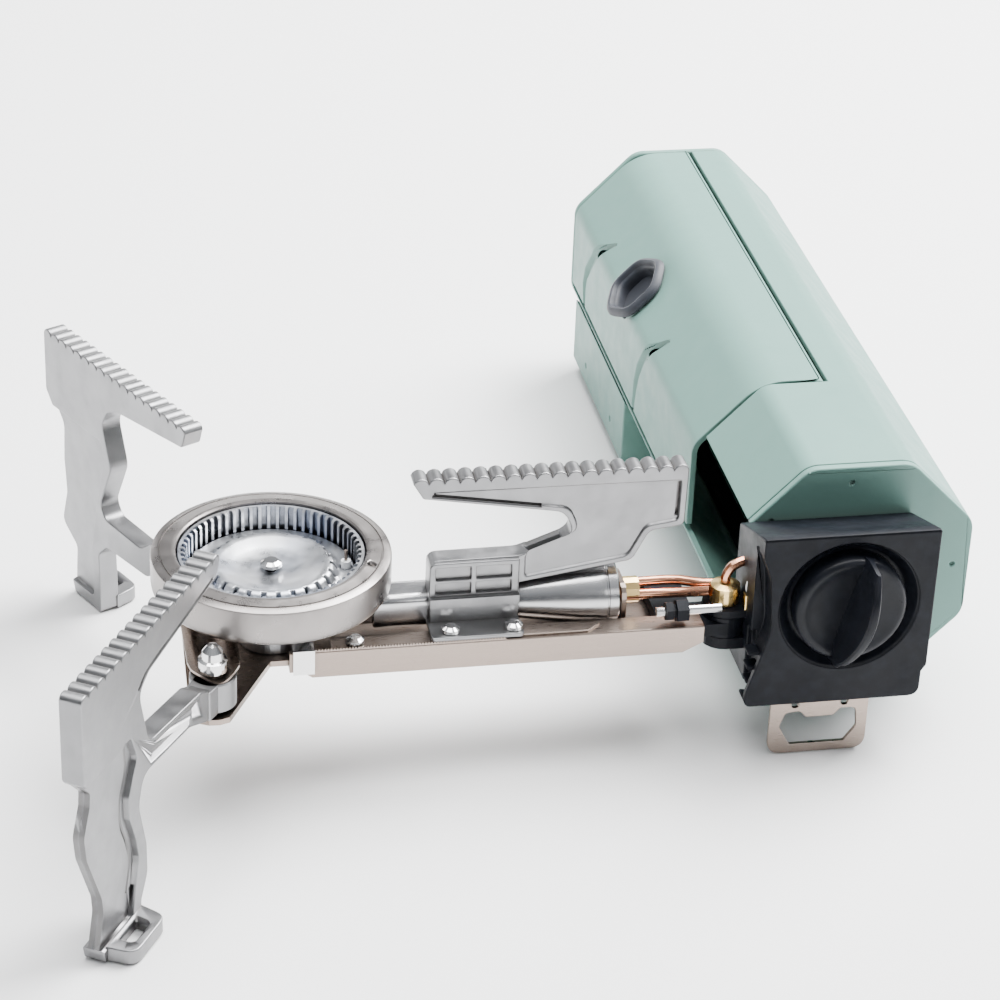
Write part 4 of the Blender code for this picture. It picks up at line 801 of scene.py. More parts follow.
class STOVE_OT_burner(bpy.types.Operator):
    """Burner cup, slotted flame ring and ported cap"""
    bl_idname = "stove.burner"
    bl_label = "Burner"

    def execute(self, context):
        settings = context.scene.stove_burner
        self.make_cup()
        self.make_ring(settings.slots)
        self.make_cap(settings.ports)
        return {"FINISHED"}

    def make_cup(self):
        """Turned cup with a stepped rim, a peep hole and the igniter's hole."""
        r = BURNER_R
        low = CUP_LOW.z / MM
        inner = r - 8.2
        profile = [(8.0, low), (14.0, low), (22.0, RIM_Z - 15.7), (34.0, RIM_Z - 14.7), (36.4, RIM_Z - 14.2),
                   (38.0, RIM_Z - 13.2), (38.8, RIM_Z - 11.9), (r, RIM_Z - 10.2), (r, RIM_Z - 1.9),
                   (r - 0.2, RIM_Z - 1.3), (r - 0.7, RIM_Z - 1.0), (r - 2.6, RIM_Z - 0.62),
                   (r - 2.75, RIM_Z - 0.95),
                   (r - 3.1, RIM_Z - 0.9), (r - 3.25, RIM_Z - 0.5), (inner + 1.8, RIM_Z - 0.1),
                   (inner + 1.2, RIM_Z), (inner + 0.5, RIM_Z - 0.1), (inner, RIM_Z - 0.6),
                   (inner, RIM_Z - 10.3), (inner - 7, RIM_Z - 10.3), (inner - 9, RIM_Z - 12.7),
                   (12.0, RIM_Z - 15.0), (8.0, RIM_Z - 15.0)]
        cup = turned("cup", profile, segments=144)
        turn = radians(-24)
        spot = ((r - 5.2) * cos(turn), (r - 5.2) * sin(turn))
        peep = rod("peep_hole", 1.5, RIM_Z - 3.0, RIM_Z + 2, spot, "Z", 24)
        way = rod("igniter_way", IGNITER_WAY_R, RIM_Z - 25, RIM_Z, plan("igniter_ceramic"), "Z", 24)
        combine(cup, [peep, way])
        fit(cup, "satin_cup", "arm", "cast_aluminium", "burner_cup")

    def make_ring(self, slots):
        """Upright fingers round the inner wall, with a folded top edge."""
        low, high = span("flame_ring", 2)
        outer = BURNER_R - 8.3
        inner = outer - 3.0
        bm = bmesh.new()
        steps = slots * 6
        shape = (0.0, 0.0, 0.0, 1.5, 1.5, 1.5)
        edges = (0.0, 1.0, 2.0, 2.3, 3.5, 5.7)
        rows = []
        for z, out_r, in_add in ((low, outer, 0), (high - 0.7, outer, 0), (high, outer - 0.6, 0.7)):
            wide, narrow = [], []
            for i in range(steps):
                angle = 2 * pi * ((i // 6) * 6 + edges[i % 6]) / steps
                radius = inner + shape[i % 6] + in_add * (1 if shape[i % 6] == 0 else 0)
                narrow.append(bm.verts.new((radius * cos(angle), radius * sin(angle), z)))
                wide.append(bm.verts.new((out_r * cos(angle), out_r * sin(angle), z)))
            rows.append((wide, narrow))
        for i in range(steps):
            j = (i + 1) % steps
            for (wide_a, narrow_a), (wide_b, narrow_b) in zip(rows, rows[1:]):
                bm.faces.new((wide_a[i], wide_a[j], wide_b[j], wide_b[i]))
                bm.faces.new((narrow_a[j], narrow_a[i], narrow_b[i], narrow_b[j]))
            for wide, narrow in (rows[0], rows[-1]):
                bm.faces.new((wide[i], narrow[i], narrow[j], wide[j]))
        ring = finish_mesh("slotted_ring", bm)
        fit(ring, "heated_steel", "arm", "stainless", "flame_ring")

    def make_cap(self, ports):
        """Cap whose raised crest has a gas port at each step round it."""
        low, high = span("burner_cap", 2)
        outer = BURNER_R - 11.6
        crest = CAP_CREST_R
        profile = [(1.9, low), (outer, low), (outer, low + 0.9), (outer - 0.5, low + 1.2),
                   (crest + 3.6, low + 0.9),
                   (crest + 2.0, low + 1.2), (crest + 1.1, low + 2.0), (crest + 0.3, low + 3.6),
                   (crest - 0.4, low + 4.3),
                   (crest - 1.6, low + 4.6), (crest - 3.6, low + 4.3), (13.0, low + 3.0), (9.5, low + 2.2),
                   (5.2, low + 1.9), (1.9, low + 1.9)]
        cap = turned("ported_cap", profile, segments=144)
        tools = []
        for i in range(ports):
            turn = Matrix.Rotation(2 * pi * (i + 0.5) / ports, 4, "Z")
            tools.append(box_piece("port_%02d" % i, (crest - 1.3, -0.8, low + 1.6),
                                   (crest + 5, 0.8, high + 3), turn))
        tools.append(rod("ceramic_way", IGNITER_WAY_R, low - 3, high + 3, plan("igniter_ceramic"), "Z", 24))
        combine(cap, tools)
        fit(cap, "heated_steel", "arm", "cast_aluminium", "burner_cap")


# ---------------------------------------------------------------- pot supports and legs

class STOVE_OT_supports(bpy.types.Operator):
    """Cast pot support on the arm and the two folding legs"""
    bl_idname = "stove.support"
    bl_label = "Supports and legs"

    def execute(self, context):
        settings = context.scene.stove_support
        self.ridge = settings.ridge_height / MM
        self.edge = settings.edge / MM
        self.web = settings.web_depth / MM
        self.half = SUPPORT_T / 2
        self.make_support()
        self.make_front_leg()
        self.make_back_leg()
        return {"FINISHED"}

    def gripped(self, corners, radii):
        """Closed outline whose first edge is the ridged grip along the top."""
        ends = [(SUPPORT_X[0], POT_Z - self.ridge), (SUPPORT_X[1], POT_Z - self.ridge)]
        ridges = ridge_line((SUPPORT_X[0], POT_Z), (SUPPORT_X[1], POT_Z), self.ridge)
        return ridges + rounded(ends + corners, [0, 0] + radii, 6)[2:]

    def panels(self, outline, turn, depth, radius=2.5, sides=(-1, 1)):
        """Cutters for the same sunk web in each side of a casting."""
        shape = rounded(outline, radius, 5)
        return [sunk_panel("panel", shape, side * self.half, side, depth, 0.4, "XZ", turn) for side in sides]

    def slots(self, run, width, depth, turn=None, sides=(-1,)):
        """Cutters for a narrow groove along a smooth run."""
        shape = ribbon(smooth_run(run), width)
        cutters = []
        for side in sides:
            near, far = sorted((side * (self.half + 1), side * (self.half - depth)))
            cutters.append(prism("slot", shape, near, far, "XZ", turn))
        return cutters

    def make_support(self):
        """Fixed support with its two rows of pockets, its ledge and its screwed flange."""
        half = self.half
        low = 57.0
        outline = self.gripped(
            [(136.2, 77.3), (124.6, 75.8), (119.2, 65.1), (81.0, 59.0), (81.0, low), (51.5, low),
             (51.5, 69.2),
             (81.0, 69.4), (99.5, 76.6), (95.6, 84.8), (48.8, 92.6)], [2.5, 4, 4, 0, 0, 0, 3, 8, 6, 6, 1.5])
        body = cast_prism("fixed_support", outline, -half, half, self.edge, "XZ")
        face = [(52.0, 94.8), (134.4, 94.2), (134.2, 79.4), (123.3, 77.8), (117.7, 66.9), (83.2, 61.3),
                (83.2, 71.4),
                (101.2, 77.2), (97.2, 86.4), (53.0, 93.6)]
        tools = self.panels(face, None, 0.9, [0.3, 1, 2, 4, 4, 1, 5, 6, 5, 0.3])
        tools += self.slots([(133.6, 93.6), (133.3, 80.6)], 1.2, 3.0)
        tools += self.slots([(51.6, 93.6), (66.0, 91.3), (88.0, 87.7)], 1.3, 2.4)
        combine(body, tools, tight=True)
        y_low, z_low = (span("right_support", axis)[0] for axis in (1, 2))
        wall = -half - 1.4
        frame_outline = rounded([(51.3, 68.9), (81.2, 68.9), (81.2, 55.2), (51.3, 55.2)],
                                [2.5, 0.5, 0.4, 0.4])
        grid = cast_prism("pocket_frame", frame_outline, wall, half - 0.2, 0.5, "XZ")
        pockets = []
        for column in range(2):
            for z_from, z_to in ((57.0, 61.4), (62.4, 67.2)):
                x = 53.3 + column * 13.5
                shape = rounded([(x, z_from), (x + 11.9, z_from), (x + 11.9, z_to), (x, z_to)], 0.7)
                pockets.append(sunk_panel("pocket", shape, wall, -1, 1.9, 0.25))
        combine(grid, pockets)
        ledge = cast_prism("ledge", [(wall - 2.0, 53.2), (wall + 3, 53.2), (wall + 3, 56.4),
                                     (wall - 2.0, 56.4)],
                           51.2, 81.3, 0.4, "YZ")
        skirt = cast_prism("skirt", [(wall - 1.4, z_low), (wall + 3, z_low), (wall + 3, 55),
                                     (wall - 1.4, 55)],
                           51.5, 81.0, 0.3, "YZ")
        sheet = rounded([(50.6, y_low), (81.4, y_low), (81.4, wall + 2), (50.6, wall + 2)], [1.5, 1.5, 0, 0])
        flange = cast_prism("flange", sheet, z_low, z_low + 1.5, 0.35, "XY")
        screws = [plan("channel_screw_%d" % index) for index in (2, 3)]
        combine(flange, [rod("screw_way", SCREW_WAY_R, z_low - 2, z_low + 3, screw, "Z", 24) for screw in screws])
        gather(body, [grid, ledge, skirt, flange])
        flatten(fit(body, "cast_aluminium", "arm", "cast_aluminium", "right_support"))

    def leg(self, name, outline, cuts, turn, toe_end, face):
        """One casting, which stands for its body's node; face is the side of the foot, 1 or -1."""
        half = self.half
        toe_r = (LEG_PIN_R + TOE_START, LEG_PIN_R + toe_end)
        side = name.split("_")[0]
        leg = cast_prism(name, outline, -half, half, self.edge, "XZ", turn)
        combine(leg, cuts, tight=True)
        low, high = KNUCKLE_Z
        place = turn @ Matrix.Translation((LEG_PIN_R, 0, 0))
        neck = cast_prism("neck", rounded([(3.0, -half - 1.2), (11.0, -half - 0.4), (11.0, half + 0.4),
                                           (3.0, half + 1.2)],
                                          0.8), low, high, 0.4, "XY", place)
        knuckle = turned("knuckle", [(3.3, low), (7.1, low), (7.5, low + 0.4), (7.5, high - 0.4), (7.1, high),
                                     (3.3, high)], segments=64, turn=place)
        toe_outline = rounded([(toe_r[0], face * (half - 0.8)), (toe_r[1], face * (half - 0.8)),
                               (toe_r[1] - 1.0, face * (half + 9.0)), (toe_r[0] + 2.0, face * (half + 9.0))],
                              [0, 0, 4.5, 4.5])
        toe = cast_prism("toe", toe_outline, 0, 5.2, self.edge, "XY", turn)
        hole = rounded([(toe_r[0] + 5.5, face * (half + 0.4)), (toe_r[1] - 4.5, face * (half + 0.4)),
                        (toe_r[1] - 5.5, face * (half + 6.4)), (toe_r[0] + 6.5, face * (half + 6.4))],
                       [1, 1, 2.2, 2.2])
        combine(toe, [prism("toe_hole", hole, -1, 7, "XY", turn)])
        gather(leg, [neck, knuckle, toe])
        flatten(fit(leg, "cast_aluminium", "leg_" + side, "cast_aluminium", "leg_" + side))

    def make_front_leg(self):
        """Leg that swings out to the front, with a curved groove beside its web."""
        low, high = KNUCKLE_Z
        outline = self.gripped(
            [(SUPPORT_X[1], 70.5), (130, 63.5), (130.5, 58.7), (134.6, 50.0), (133.4, 41.5), (125.0, 22.1),
             (124.3, 16.3), (128.0, 4.0), (127.0, 0.0), (103.0, 0.0), (103.0, 7.1), (98.3, 15.0),
             (98.6, 26.0),
             (103.0, 42.0), (99.5, 51.3), (68.2, 49.0), (56.0, low + 0.5), (52, low + 0.5), (52, high - 0.5),
             (60.0, 57.0), (95.3, 60.5), (100.9, 81.0), (94.0, 85.2), (47.5, 92.6)],
            [3, 2, 3, 6, 8, 6, 6, 3, 1.5, 1.5, 4, 7, 8, 8, 6, 9, 3, 0, 0, 4, 6, 6, 6, 1.5])
        turn = Matrix.Rotation(radians(LEG_FRONT_DEG), 4, "Z")
        web = [(107.0, 69.0), (140.0, 69.0), (140.0, 4.6), (109.0, 4.6), (106.3, 15.1), (104.0, 24.0),
               (105.6, 31.5),
               (109.3, 41.2), (109.5, 48.6), (106.0, 55.5), (103.2, 60.0)]
        cuts = self.panels(web, turn, self.web, [2, 0, 0, 2, 4, 4, 4, 5, 4, 4, 3])
        cuts += self.slots([(108.6, 66.0), (108.3, 58.0), (112.2, 49.0), (112.0, 40.5), (108.4, 31.0),
                            (107.2, 23.5),
                            (110.0, 14.0)], 1.4, self.web + 1.3, turn, (1,))
        cuts += self.slots([(50.6, 93.4), (70.0, 90.2), (94.0, 86.6), (101.6, 82.6)], 1.3, 2.4, turn, (1,))
        cuts += self.panels([(66.0, 55.3), (92.0, 57.9), (95.0, 54.0), (70.0, 51.6)], turn, 1.5, 1.0)
        self.leg("front_leg", outline, cuts, turn, FRONT_TOE_END, 1)

    def make_back_leg(self):
        """Leg that swings out to the back, with a straighter groove beside its web."""
        low, high = KNUCKLE_Z
        outline = self.gripped(
            [(SUPPORT_X[1], 76.0), (127.6, 65.3), (128.4, 50.8), (127.2, 38.0), (131.0, 25.0), (121.4, 18.5),
             (122.6, 4.0), (121.0, 0.0), (103.0, 0.0), (103.5, 24.0), (98.0, 29.4), (71.2, 30.6),
             (56.0, low + 0.5), (52, low + 0.5), (52, high - 0.5), (58.0, high - 0.5), (75.0, 40.3),
             (98.4, 40.6),
             (101.5, 45.5), (93.6, 62.5), (98.9, 78.6), (95.0, 84.2), (88.0, 87.4), (47.5, 92.2)],
            [3, 5, 6, 6, 4, 3, 2, 1.5, 1.5, 4, 5, 6, 3, 0, 0, 3, 6, 4, 4, 7, 6, 4, 4, 1.5])
        turn = Matrix.Rotation(radians(LEG_BACK_DEG), 4, "Z")
        web = [(99.0, 71.0), (140.0, 71.0), (140.0, 4.6), (108.0, 4.6), (108.4, 24.0), (104.6, 42.0),
               (99.6, 60.0)]
        cuts = self.panels(web, turn, self.web, [3, 0, 0, 2, 6, 6, 6])
        cuts += self.slots([(101.6, 68.0), (102.0, 61.0), (107.0, 43.0), (110.8, 25.0), (111.0, 13.0)], 1.3,
                           self.web + 1.2, turn)
        self.leg("back_leg", outline, cuts, turn, BACK_TOE_END, -1)


# ---------------------------------------------------------------- control box

class STOVE_OT_controls(bpy.types.Operator):
    """Black control box, its knob and the sliding foot plate"""
    bl_idname = "stove.control"
    bl_label = "Controls"

    def execute(self, context):
        settings = context.scene.stove_control
        edge = settings.edge / MM
        self.make_box(edge)
        self.make_knob(settings.grip_height / MM)
        self.make_foot()
        return {"FINISHED"}

    def make_box(self, edge):
        """Case with a sloping top, a ribbed left side, a round recess and the foot's slot."""
        face, back = BOX_FRONT_Y, BOX_BACK_Y
        low, high = BOX_LOW_Z, BOX_TOP_Z
        left = BOX_LEFT_X + 3.6
        back_top = high - 10.7
        front = rounded([(left, high + 2), (BOX_RIGHT_X, high + 2), (BOX_RIGHT_X, low + 12.0),
                         (BOX_RIGHT_X - 1.6, low + 9.5),
                         (BOX_RIGHT_X - 1.6, low), (BOX_LEFT_X + 1.2, low), (BOX_LEFT_X + 1.0, low + 5),
                         (BOX_LEFT_X + 8.2, 50.0), (BOX_LEFT_X + 6.6, 70.0), (left, high - 7)],
                        [0, 0, 1.5, 1.5, 4, 3, 8, 22, 14, 4], 9)
        box = prism("control_case", front, face, face + 8.0, "XZ")
        rear = prism("rear_case", [(left, low + 3.0), (left, high + 2), (BOX_RIGHT_X, high + 2),
                                   (BOX_RIGHT_X, low + 9.5)],
                     face + 7.9, back, "XZ")
        slope = prism("slope", rounded([(face - 8, high + 10), (face - 8, high - 5), (face, high - 0.3),
                                        (face + 1.5, high - 0.1),
                                        (back + 2, back_top - 0.9), (back + 2, high + 10)],
                                       [0, 0, 1.5, 0, 0, 0]),
                      left - 9, BOX_RIGHT_X + 9, "YZ")
        side_room = box_piece("side_room", (BOX_LEFT_X - 3, face + 2.6, low + 2.4),
                              (BOX_LEFT_X + 5.6, face + 12, low + 25))
        combine(box, [rear], "UNION")
        combine(box, [slope, side_room])
        ribs = [box_piece("rib_%d" % i, (BOX_LEFT_X + 1.6, face + 2.0, low + 2.4 + 5.5 * i),
                          (BOX_LEFT_X + 6.2, face + 7.8, low + 3.6 + 5.5 * i)) for i in range(1, 4)]
        cup = rod("recess_cup", RECESS_LIP_R + 0.1, face + 0.6, face + 7.0, (KNOB_X, KNOB_Z), "Y", 72)
        combine(box, [cup], "UNION")
        dish = turned("dish", [(0, face - 1), (RECESS_LIP_R, face - 1), (23.9, face + 0.02),
                               (23.2, face + 1.4),
                               (21.6, face + 3.4), (20.2, face + 5.0), (0, face + 5.0)], (KNOB_X, 0, KNOB_Z),
                      "Y", 96)
        shaft = rod("shaft_way", 3.9, face - 1, face + 12, (KNOB_X, KNOB_Z), "Y", 32)
        slot = box_piece("foot_slot", (FOOT_X[0] - 0.3, FOOT_Y[0] - 0.3, low - 1),
                         (FOOT_X[1] + 0.3, FOOT_Y[1] + 0.3, low + 3))
        combine(box, [dish, shaft, slot])
        gather(box, ribs)
        soften(fit(box, "black_moulding", "housing", "black_plastic", "control_box"), edge * 0.6)

    def make_knob(self, grip):
        """Round dial with a bowed grip blade across it."""
        back = KNOB_BACK_Y
        front = BOX_FRONT_Y - 3.0
        low, high = span("knob", 0)
        r = (high - low) / 2 - 0.6
        dial = turned("dial", [(0, front + 0.9), (r - 6.0, front + 0.9), (r - 3.4, front + 0.3),
                               (r - 2.4, front),
                               (r - 1.4, front + 0.1), (r - 0.5, front + 0.7), (r, front + 1.6), (r, back),
                               (3.9, back),
                               (3.9, front + 4.0), (0, front + 4.0)],
                      (KNOB_X, 0, KNOB_Z), "Y", 128)
        tilt = radians(BLADE_TILT_DEG)
        reach = r + 0.6
        sections = []
        for k in range(25):
            share = k / 24
            z = reach - 2 * reach * share
            crest = grip * (0.30 + 0.70 * sin(pi * min(share * 0.93 + 0.10, 1.0)) ** 0.6)
            bow = 1.8 * sin(pi * share) - 0.4
            thick = 0.8 + 0.9 * sin(pi * share) ** 0.5
            section = []
            for x, rise in ((-thick - 0.9, -0.9), (-thick - 0.3, 0.6), (-thick, 3.2),
                            (-thick * 0.95, crest - 1.0),
                            (-thick * 0.6, crest - 0.25), (0.0, crest), (thick * 0.6, crest - 0.25),
                            (thick * 0.95, crest - 1.0), (thick, 3.2), (thick + 0.3, 0.6),
                            (thick + 0.9, -0.9)):
                x += bow * max(rise, 0) / grip
                y = front + 0.9 - max(rise, -0.9)
                section.append((KNOB_X + x * cos(tilt) + z * sin(tilt), y,
                                KNOB_Z + z * cos(tilt) - x * sin(tilt)))
            sections.append(section)
        gather(dial, [loft("blade", sections)])
        fit(dial, "black_dial", "knob", "black_plastic", "knob")

    def make_foot(self):
        """Steel foot plate with a shaped window and two guide slots."""
        low, high = FOOT_X
        outline = rounded([(low, 0), (high, 0), (high, FOOT_TOP_Z), (low, FOOT_TOP_Z)], [5, 5, 0, 0], 8)
        plate = prism("steel_foot", outline, FOOT_Y[0], FOOT_Y[1], "XZ")
        mid = (low + high) / 2
        window = rounded([(mid - 9.5, 3.4), (mid + 9.5, 3.4), (mid + 13.4, 9), (mid + 12.6, 16.6),
                          (mid + 7.4, 16.6),
                          (mid + 5.0, 13.9), (mid - 4.4, 13.9), (mid - 6.8, 16.4), (mid - 11.6, 16.0),
                          (mid - 13.4, 10.6)], [1.2, 1.2, 2, 2, 1, 1, 1, 1.5, 2, 2])
        tools = [prism("window", window, FOOT_Y[0] - 2, FOOT_Y[1] + 2, "XZ")]
        for x in (mid - 8.5, mid + 8.5):
            slot = rounded([(x - 1.3, 17.9), (x + 1.3, 17.9), (x + 1.3, FOOT_TOP_Z - 1.2),
                            (x - 1.3, FOOT_TOP_Z - 1.2)], 1.2)
            tools.append(prism("guide_slot", slot, FOOT_Y[0] - 2, FOOT_Y[1] + 2, "XZ"))
        combine(plate, tools)
        soften(fit(plate, "brushed_plate", "foot_plate", "stainless", "foot_plate"), 0.25)


# ---------------------------------------------------------------- burner arm

class STOVE_OT_arm(bpy.types.Operator):
    """Folded steel channel, mixing tube, gas pipes and plate spring of the burner arm"""
    bl_idname = "stove.arm"
    bl_label = "Arm"

    def execute(self, context):
        self.make_channel()
        self.make_tube()
        self.make_pipes()
        self.make_spring()
        return {"FINISHED"}

    def make_channel(self):
        """Channel with a tall near wall, whose folded lip carries a finely serrated edge."""
        (x_low, x_high), (near, far), (low, high) = (span("arm_channel", axis) for axis in range(3))
        t, drop = CHANNEL_T, CHANNEL_DROP
        section = rounded([(near + 8.5, high - t), (near + t, high - t), (near + t, low + t),
                           (far - t, low + t),
                           (far - t, high - t), (far - 3, high - t), (far - 3, high), (far, high), (far, low),
                           (near + t, low), (near + t, low - drop), (near, low - drop), (near, high),
                           (near + 8.5, high)], [0, 0, 0.3, 0.3, 0, 0, 0, 0.8, 0.8, 0.2, 0.2, 0.2, 0.9, 0], 3)
        channel = prism("channel", section, x_low, x_high, "YZ")
        tools = [box_piece("neck_relief", (x_low - 1, near + t + 1, high - t - 1),
                           (18, far - t - 1, high + 1)),
                 prism("end_cut", [(x_high - 9, low - drop - 1), (x_high + 1, low - drop - 1),
                                   (x_high + 1, low + 1.5)],
                       near - 1, near + t + 0.5, "XZ"),
                 prism("tip_cut", [(x_low - 1, low - drop - 1), (x_low + 9, low - drop - 1),
                                   (x_low + 4, low - 0.1),
                                   (x_low - 1, low - 0.1)], near - 1, near + t + 0.5, "XZ")]
        for index in range(1, 4):
            tools.append(rod("lip_hole", SCREW_WAY_R, high - 3, high + 1, plan("channel_screw_%d" % index),
                             "Z", 20))
        combine(channel, tools)
        teeth = [(12.0, high - 0.3), (12.0, high + 0.25)]
        for i in range(63):
            teeth += [(12.3 + i, high + 0.25), (12.5 + i, high + 0.75), (12.8 + i, high + 0.75),
                      (13.0 + i, high + 0.25)]
        teeth += [(76.0, high - 0.3)]
        serration = prism("serration", teeth, near + 0.35, near + 1.1, "XZ")
        liner = cast_prism("liner", [(78.0, near + 1.4), (103.0, near + 1.4), (107.5, near + 5.4),
                                     (96.0, near + 7.4),
                                     (78.0, near + 7.8)], high - 0.2, high + 0.75, 0.2, "XY")
        gather(channel, [serration, liner])
        flatten(fit(channel, "brushed_steel", "arm", "stainless", "arm_channel"))

    def make_tube(self):
        """Drawn mixing tube that flares into a wide mouth with a rolled ring."""
        y = middle("air_shutter", 1)
        z = middle("air_shutter", 2)
        start, end = span("mixing_tube", 0)
        mouth = MOUTH_R
        outer = [(5.8, start), (5.9, 60.0), (6.1, 74.0), (6.8, 80.0), (7.9, 87.0), (9.1, 95.0), (10.0, 102.0),
                 (mouth - 0.25, 107.5), (mouth, 109.5), (mouth, end - 4.2), (mouth - 0.35, end - 4.0),
                 (mouth - 0.35, end - 3.5), (mouth, end - 3.3), (mouth, end - 0.4), (mouth - 0.3, end)]
        inner = [(mouth - 1.1, end), (mouth - 1.2, 108.0), (5.0, 80.0), (5.0, start)]
        tube = turned("mixing_flare", outer + inner, (0, y, z), "X", 96)
        sleeve = cast_prism("flat_sleeve", rounded([(y - 6.4, z - 5.0), (y + 6.4, z - 5.0),
                                                    (y + 6.4, z + 6.2),
                                                    (y - 6.4, z + 6.2)], [1, 1, 3.5, 3.5], 6), 33.0, 52.5,
                            0.6, "YZ")
        gather(tube, [sleeve])
        fit(tube, "drawn_tube", "arm", "bright_steel", "mixing_tube", "air_shutter")

    def make_pipes(self):
        """Two copper gas pipes side by side, from the mouth of the tube to the swivel."""
        end = span("mixing_tube", 0)[1]
        y = middle("air_shutter", 1)
        z = middle("air_shutter", 2)
        x_swivel, y_swivel = plan("swivel_block")
        feed = [(end - 6, y - 2.6, z - 0.6), (end + 8, y - 2.6, z - 0.6), (136, y - 3.4, z - 0.4),
                (x_swivel - 5.0, y_swivel + 0.6, z + 2.2)]
        preheat = [(end - 6, y + 2.6, z + 1.0), (end + 8, y + 2.6, z + 1.0), (136, y + 1.8, z + 1.4),
                   (144, y_swivel + 6.4, z + 2.2), (x_swivel - 0.6, y_swivel + 5.0, z + 2.4)]
        for name, path, node in (("feed_pipe", feed, "gas_pipe"), ("preheat_line", preheat, "preheat_pipe")):
            fit(tube_along(name, path, PIPE_R), "copper", "arm", "brass", node)

    def make_spring(self):
        """Wavy black plate over the front leg's pin."""
        (x_low, x_high), (y_low, y_high), (z_low, _) = (span("blade_spring", axis) for axis in range(3))
        mid = (y_low + y_high) / 2
        sections = []
        count = 24
        for k in range(count + 1):
            share = k / count
            x = x_low + (x_high - x_low) * share
            wave = 0.9 * sin(2 * pi * share * 1.4)
            half = (y_high - y_low) / 2 * (0.72 + 0.28 * sin(pi * share) ** 0.5)
            low, high = z_low + wave, z_low + wave + 0.9
            sections.append([(x, mid - half, low), (x, mid + half, low), (x, mid + half, high),
                             (x, mid - half, high)])
        spring = loft("wavy_spring", sections)
        fit(spring, "brushed_steel", "arm", "stainless", "blade_spring")


# ---------------------------------------------------------------- pieces kept from the frame

KEPT = {
    "brushed_steel": ("leg_carrier", "jet_holder", "lid_hinge_pin", "arm_hinge_pin",
                      "leg_pin_front", "leg_pin_back", "igniter_electrode"),
    "bright_steel": ("channel_clip", "lock_rod", "cap_post", "acorn_nut_front", "acorn_nut_back",
                     "channel_screw_1",
                     "channel_screw_2", "channel_screw_3"),
    "cast_aluminium": ("burner_neck",),
    "copper": ("feed_elbow",),
    "brass": ("gas_jet", "swivel_block", "lead_connector", "gas_valve", "knob_shaft"),
    "white_insulation": ("igniter_ceramic", "ignition_lead"),
    "black_moulding": ("arm_bracket", "arm_end_block", "lock_bolt", "piezo_igniter", "cartridge_rail_left",
                       "cartridge_rail_right"),
    "black_rubber": ("rear_pad_left", "rear_pad_right"),
    "dark_magnet": ("magnet_ring",),
}


class STOVE_OT_kept(bpy.types.Operator):
    """Finishes of the pieces whose shape comes straight from the frame"""
    bl_idname = "stove.kept"
    bl_label = "Fittings"

    def execute(self, context):
        for finish, nodes in KEPT.items():
            for node in nodes:
                obj = frame["nodes"][node]
                for slot in obj.material_slots:
                    slot.material = FINISHES[finish]
        return {"FINISHED"}


# ---------------------------------------------------------------- stage

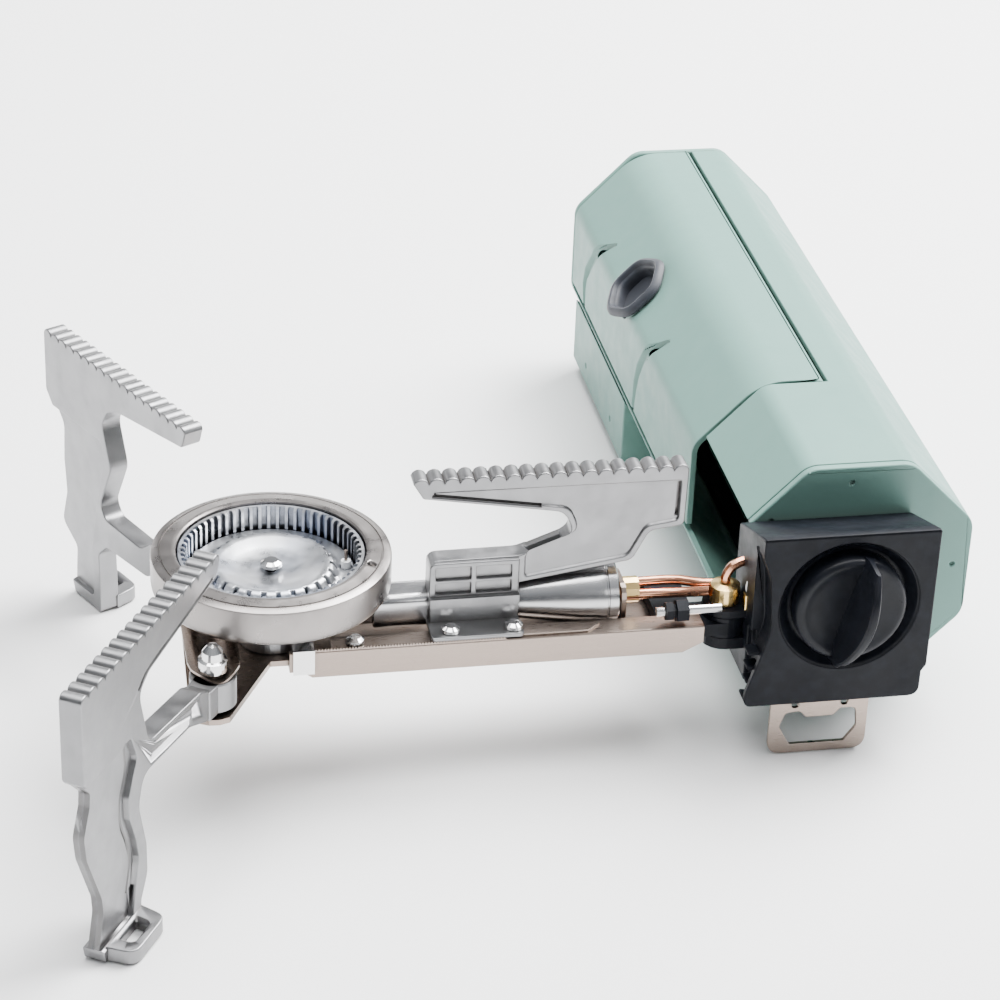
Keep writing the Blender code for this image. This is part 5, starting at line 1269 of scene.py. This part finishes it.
class STOVE_OT_stage(bpy.types.Operator):
    """Pale floor, soft studio lights and the camera"""
    bl_idname = "stove.stage"
    bl_label = "Stage"

    def execute(self, context):
        self.make_floor(context.scene.stove_stage.floor_colour)
        self.make_lights()
        self.make_camera()
        return {"FINISHED"}

    def make_floor(self, tone):
        """Level paper floor just under the feet."""
        bm = bmesh.new()
        bmesh.ops.create_grid(bm, x_segments=1, y_segments=1, size=6.0)
        mesh = bpy.data.meshes.new("floor")
        bm.to_mesh(mesh)
        bm.free()
        floor = bpy.data.objects.new("floor", mesh)
        floor.location.z = -0.0004
        bpy.context.collection.objects.link(floor)
        paper = Finish("studio_paper", tone, 0.75)
        mesh.materials.append(paper.material)

    def make_lights(self):
        """Five soft lamps, and a sky that is darker near the horizon."""
        aims = (("main_softbox", (1.0, 0.55, 1.35), (1.3, 1.3), 150.0),
                ("overhead", (-0.1, 0.1, 1.7), (1.2, 1.2), 48.0),
                ("front_key", (0.7, -1.6, 0.8), (0.9, 0.5), 4.0),
                ("left_strip", (-1.5, 0.3, 0.5), (0.16, 1.2), 3.0),
                ("back_strip", (-0.2, 1.5, 0.5), (1.6, 0.25), 6.0))
        for name, place, size, power in aims:
            lamp = bpy.data.lights.new(name, "AREA")
            lamp.shape = "RECTANGLE"
            lamp.size, lamp.size_y = size
            lamp.energy = power
            obj = bpy.data.objects.new(name, lamp)
            obj.location = place
            obj.rotation_euler = (-Vector(place)).to_track_quat("-Z", "Y").to_euler()
            bpy.context.collection.objects.link(obj)
        sky = bpy.data.worlds.new("studio")
        sky.use_nodes = True
        nodes, links = sky.node_tree.nodes, sky.node_tree.links
        way = nodes.new("ShaderNodeTexCoord")
        split = nodes.new("ShaderNodeSeparateXYZ")
        ramp = nodes.new("ShaderNodeValToRGB")
        ramp.color_ramp.elements.new(0.35)
        for stop, place, tone in zip(ramp.color_ramp.elements, (0.0, 0.35, 0.85),
                                     ((0.10, 0.105, 0.115), (0.24, 0.25, 0.27), (0.93, 0.96, 1.0))):
            stop.position = place
            stop.color = (*tone, 1)
        links.new(way.outputs["Generated"], split.inputs["Vector"])
        links.new(split.outputs["Z"], ramp.inputs["Fac"])
        links.new(ramp.outputs["Color"], nodes["Background"].inputs["Color"])
        nodes["Background"].inputs["Strength"].default_value = 0.75
        bpy.context.scene.world = sky

    def make_camera(self):
        """Camera at the product's three-quarter view, given by its place and its three angles."""
        yaw, pitch, roll = radians(11.573), radians(29.511), radians(2.365)
        ahead = Vector((sin(yaw) * cos(pitch), cos(yaw) * cos(pitch), -sin(pitch)))
        side = Vector((cos(yaw), -sin(yaw), 0.0))
        up = side.cross(ahead)
        right = cos(roll) * side + sin(roll) * up
        above = -sin(roll) * side + cos(roll) * up
        lens = bpy.data.cameras.new("camera")
        lens.sensor_width = 36.0
        lens.lens = 110.55
        lens.clip_start = 0.01
        camera = bpy.data.objects.new("camera", lens)
        camera.matrix_world = Matrix.Translation(world((-99.55, -850.76, 580.33))) @ Matrix(
            (right, above, -ahead)).transposed().to_4x4()
        bpy.context.collection.objects.link(camera)
        bpy.context.scene.camera = camera


# ---------------------------------------------------------------- panel and registration

class STOVE_PT_panel(bpy.types.Panel):
    """Stove pieces and their settings"""
    bl_idname = "STOVE_PT_panel"
    bl_label = "Camping stove"
    bl_space_type = "VIEW_3D"
    bl_region_type = "UI"
    bl_category = "Stove"

    def draw(self, context):
        groups = [(name, name.replace("_", ".")) for name in SETTINGS]
        for group, operator in groups:
            settings = getattr(context.scene, group)
            column = self.layout.column(align=True)
            for key in type(settings).__annotations__:
                column.prop(settings, key)
            column.operator(operator)
        self.layout.operator("stove.arm")
        self.layout.operator("stove.kept")


SETTINGS = {"stove_housing": HousingSettings, "stove_burner": BurnerSettings,
            "stove_support": SupportSettings,
            "stove_control": ControlSettings, "stove_stage": StageSettings}
CLASSES = (HousingSettings, BurnerSettings, SupportSettings, ControlSettings, StageSettings, STOVE_OT_housing,
           STOVE_OT_burner, STOVE_OT_supports, STOVE_OT_arm, STOVE_OT_controls, STOVE_OT_kept,
           STOVE_OT_stage, STOVE_PT_panel)


def register():
    for cls in CLASSES:
        bpy.utils.register_class(cls)
    for name, group in SETTINGS.items():
        setattr(bpy.types.Scene, name, bpy.props.PointerProperty(type=group))


def unregister():
    for name in SETTINGS:
        delattr(bpy.types.Scene, name)
    for cls in reversed(CLASSES):
        bpy.utils.unregister_class(cls)


def main():
    register()
    make_finishes(bpy.context.scene)
    for step in ("stage", "housing", "burner", "support", "arm", "control", "kept"):
        getattr(bpy.ops.stove, step)()


if __name__ == "__main__":
    main()
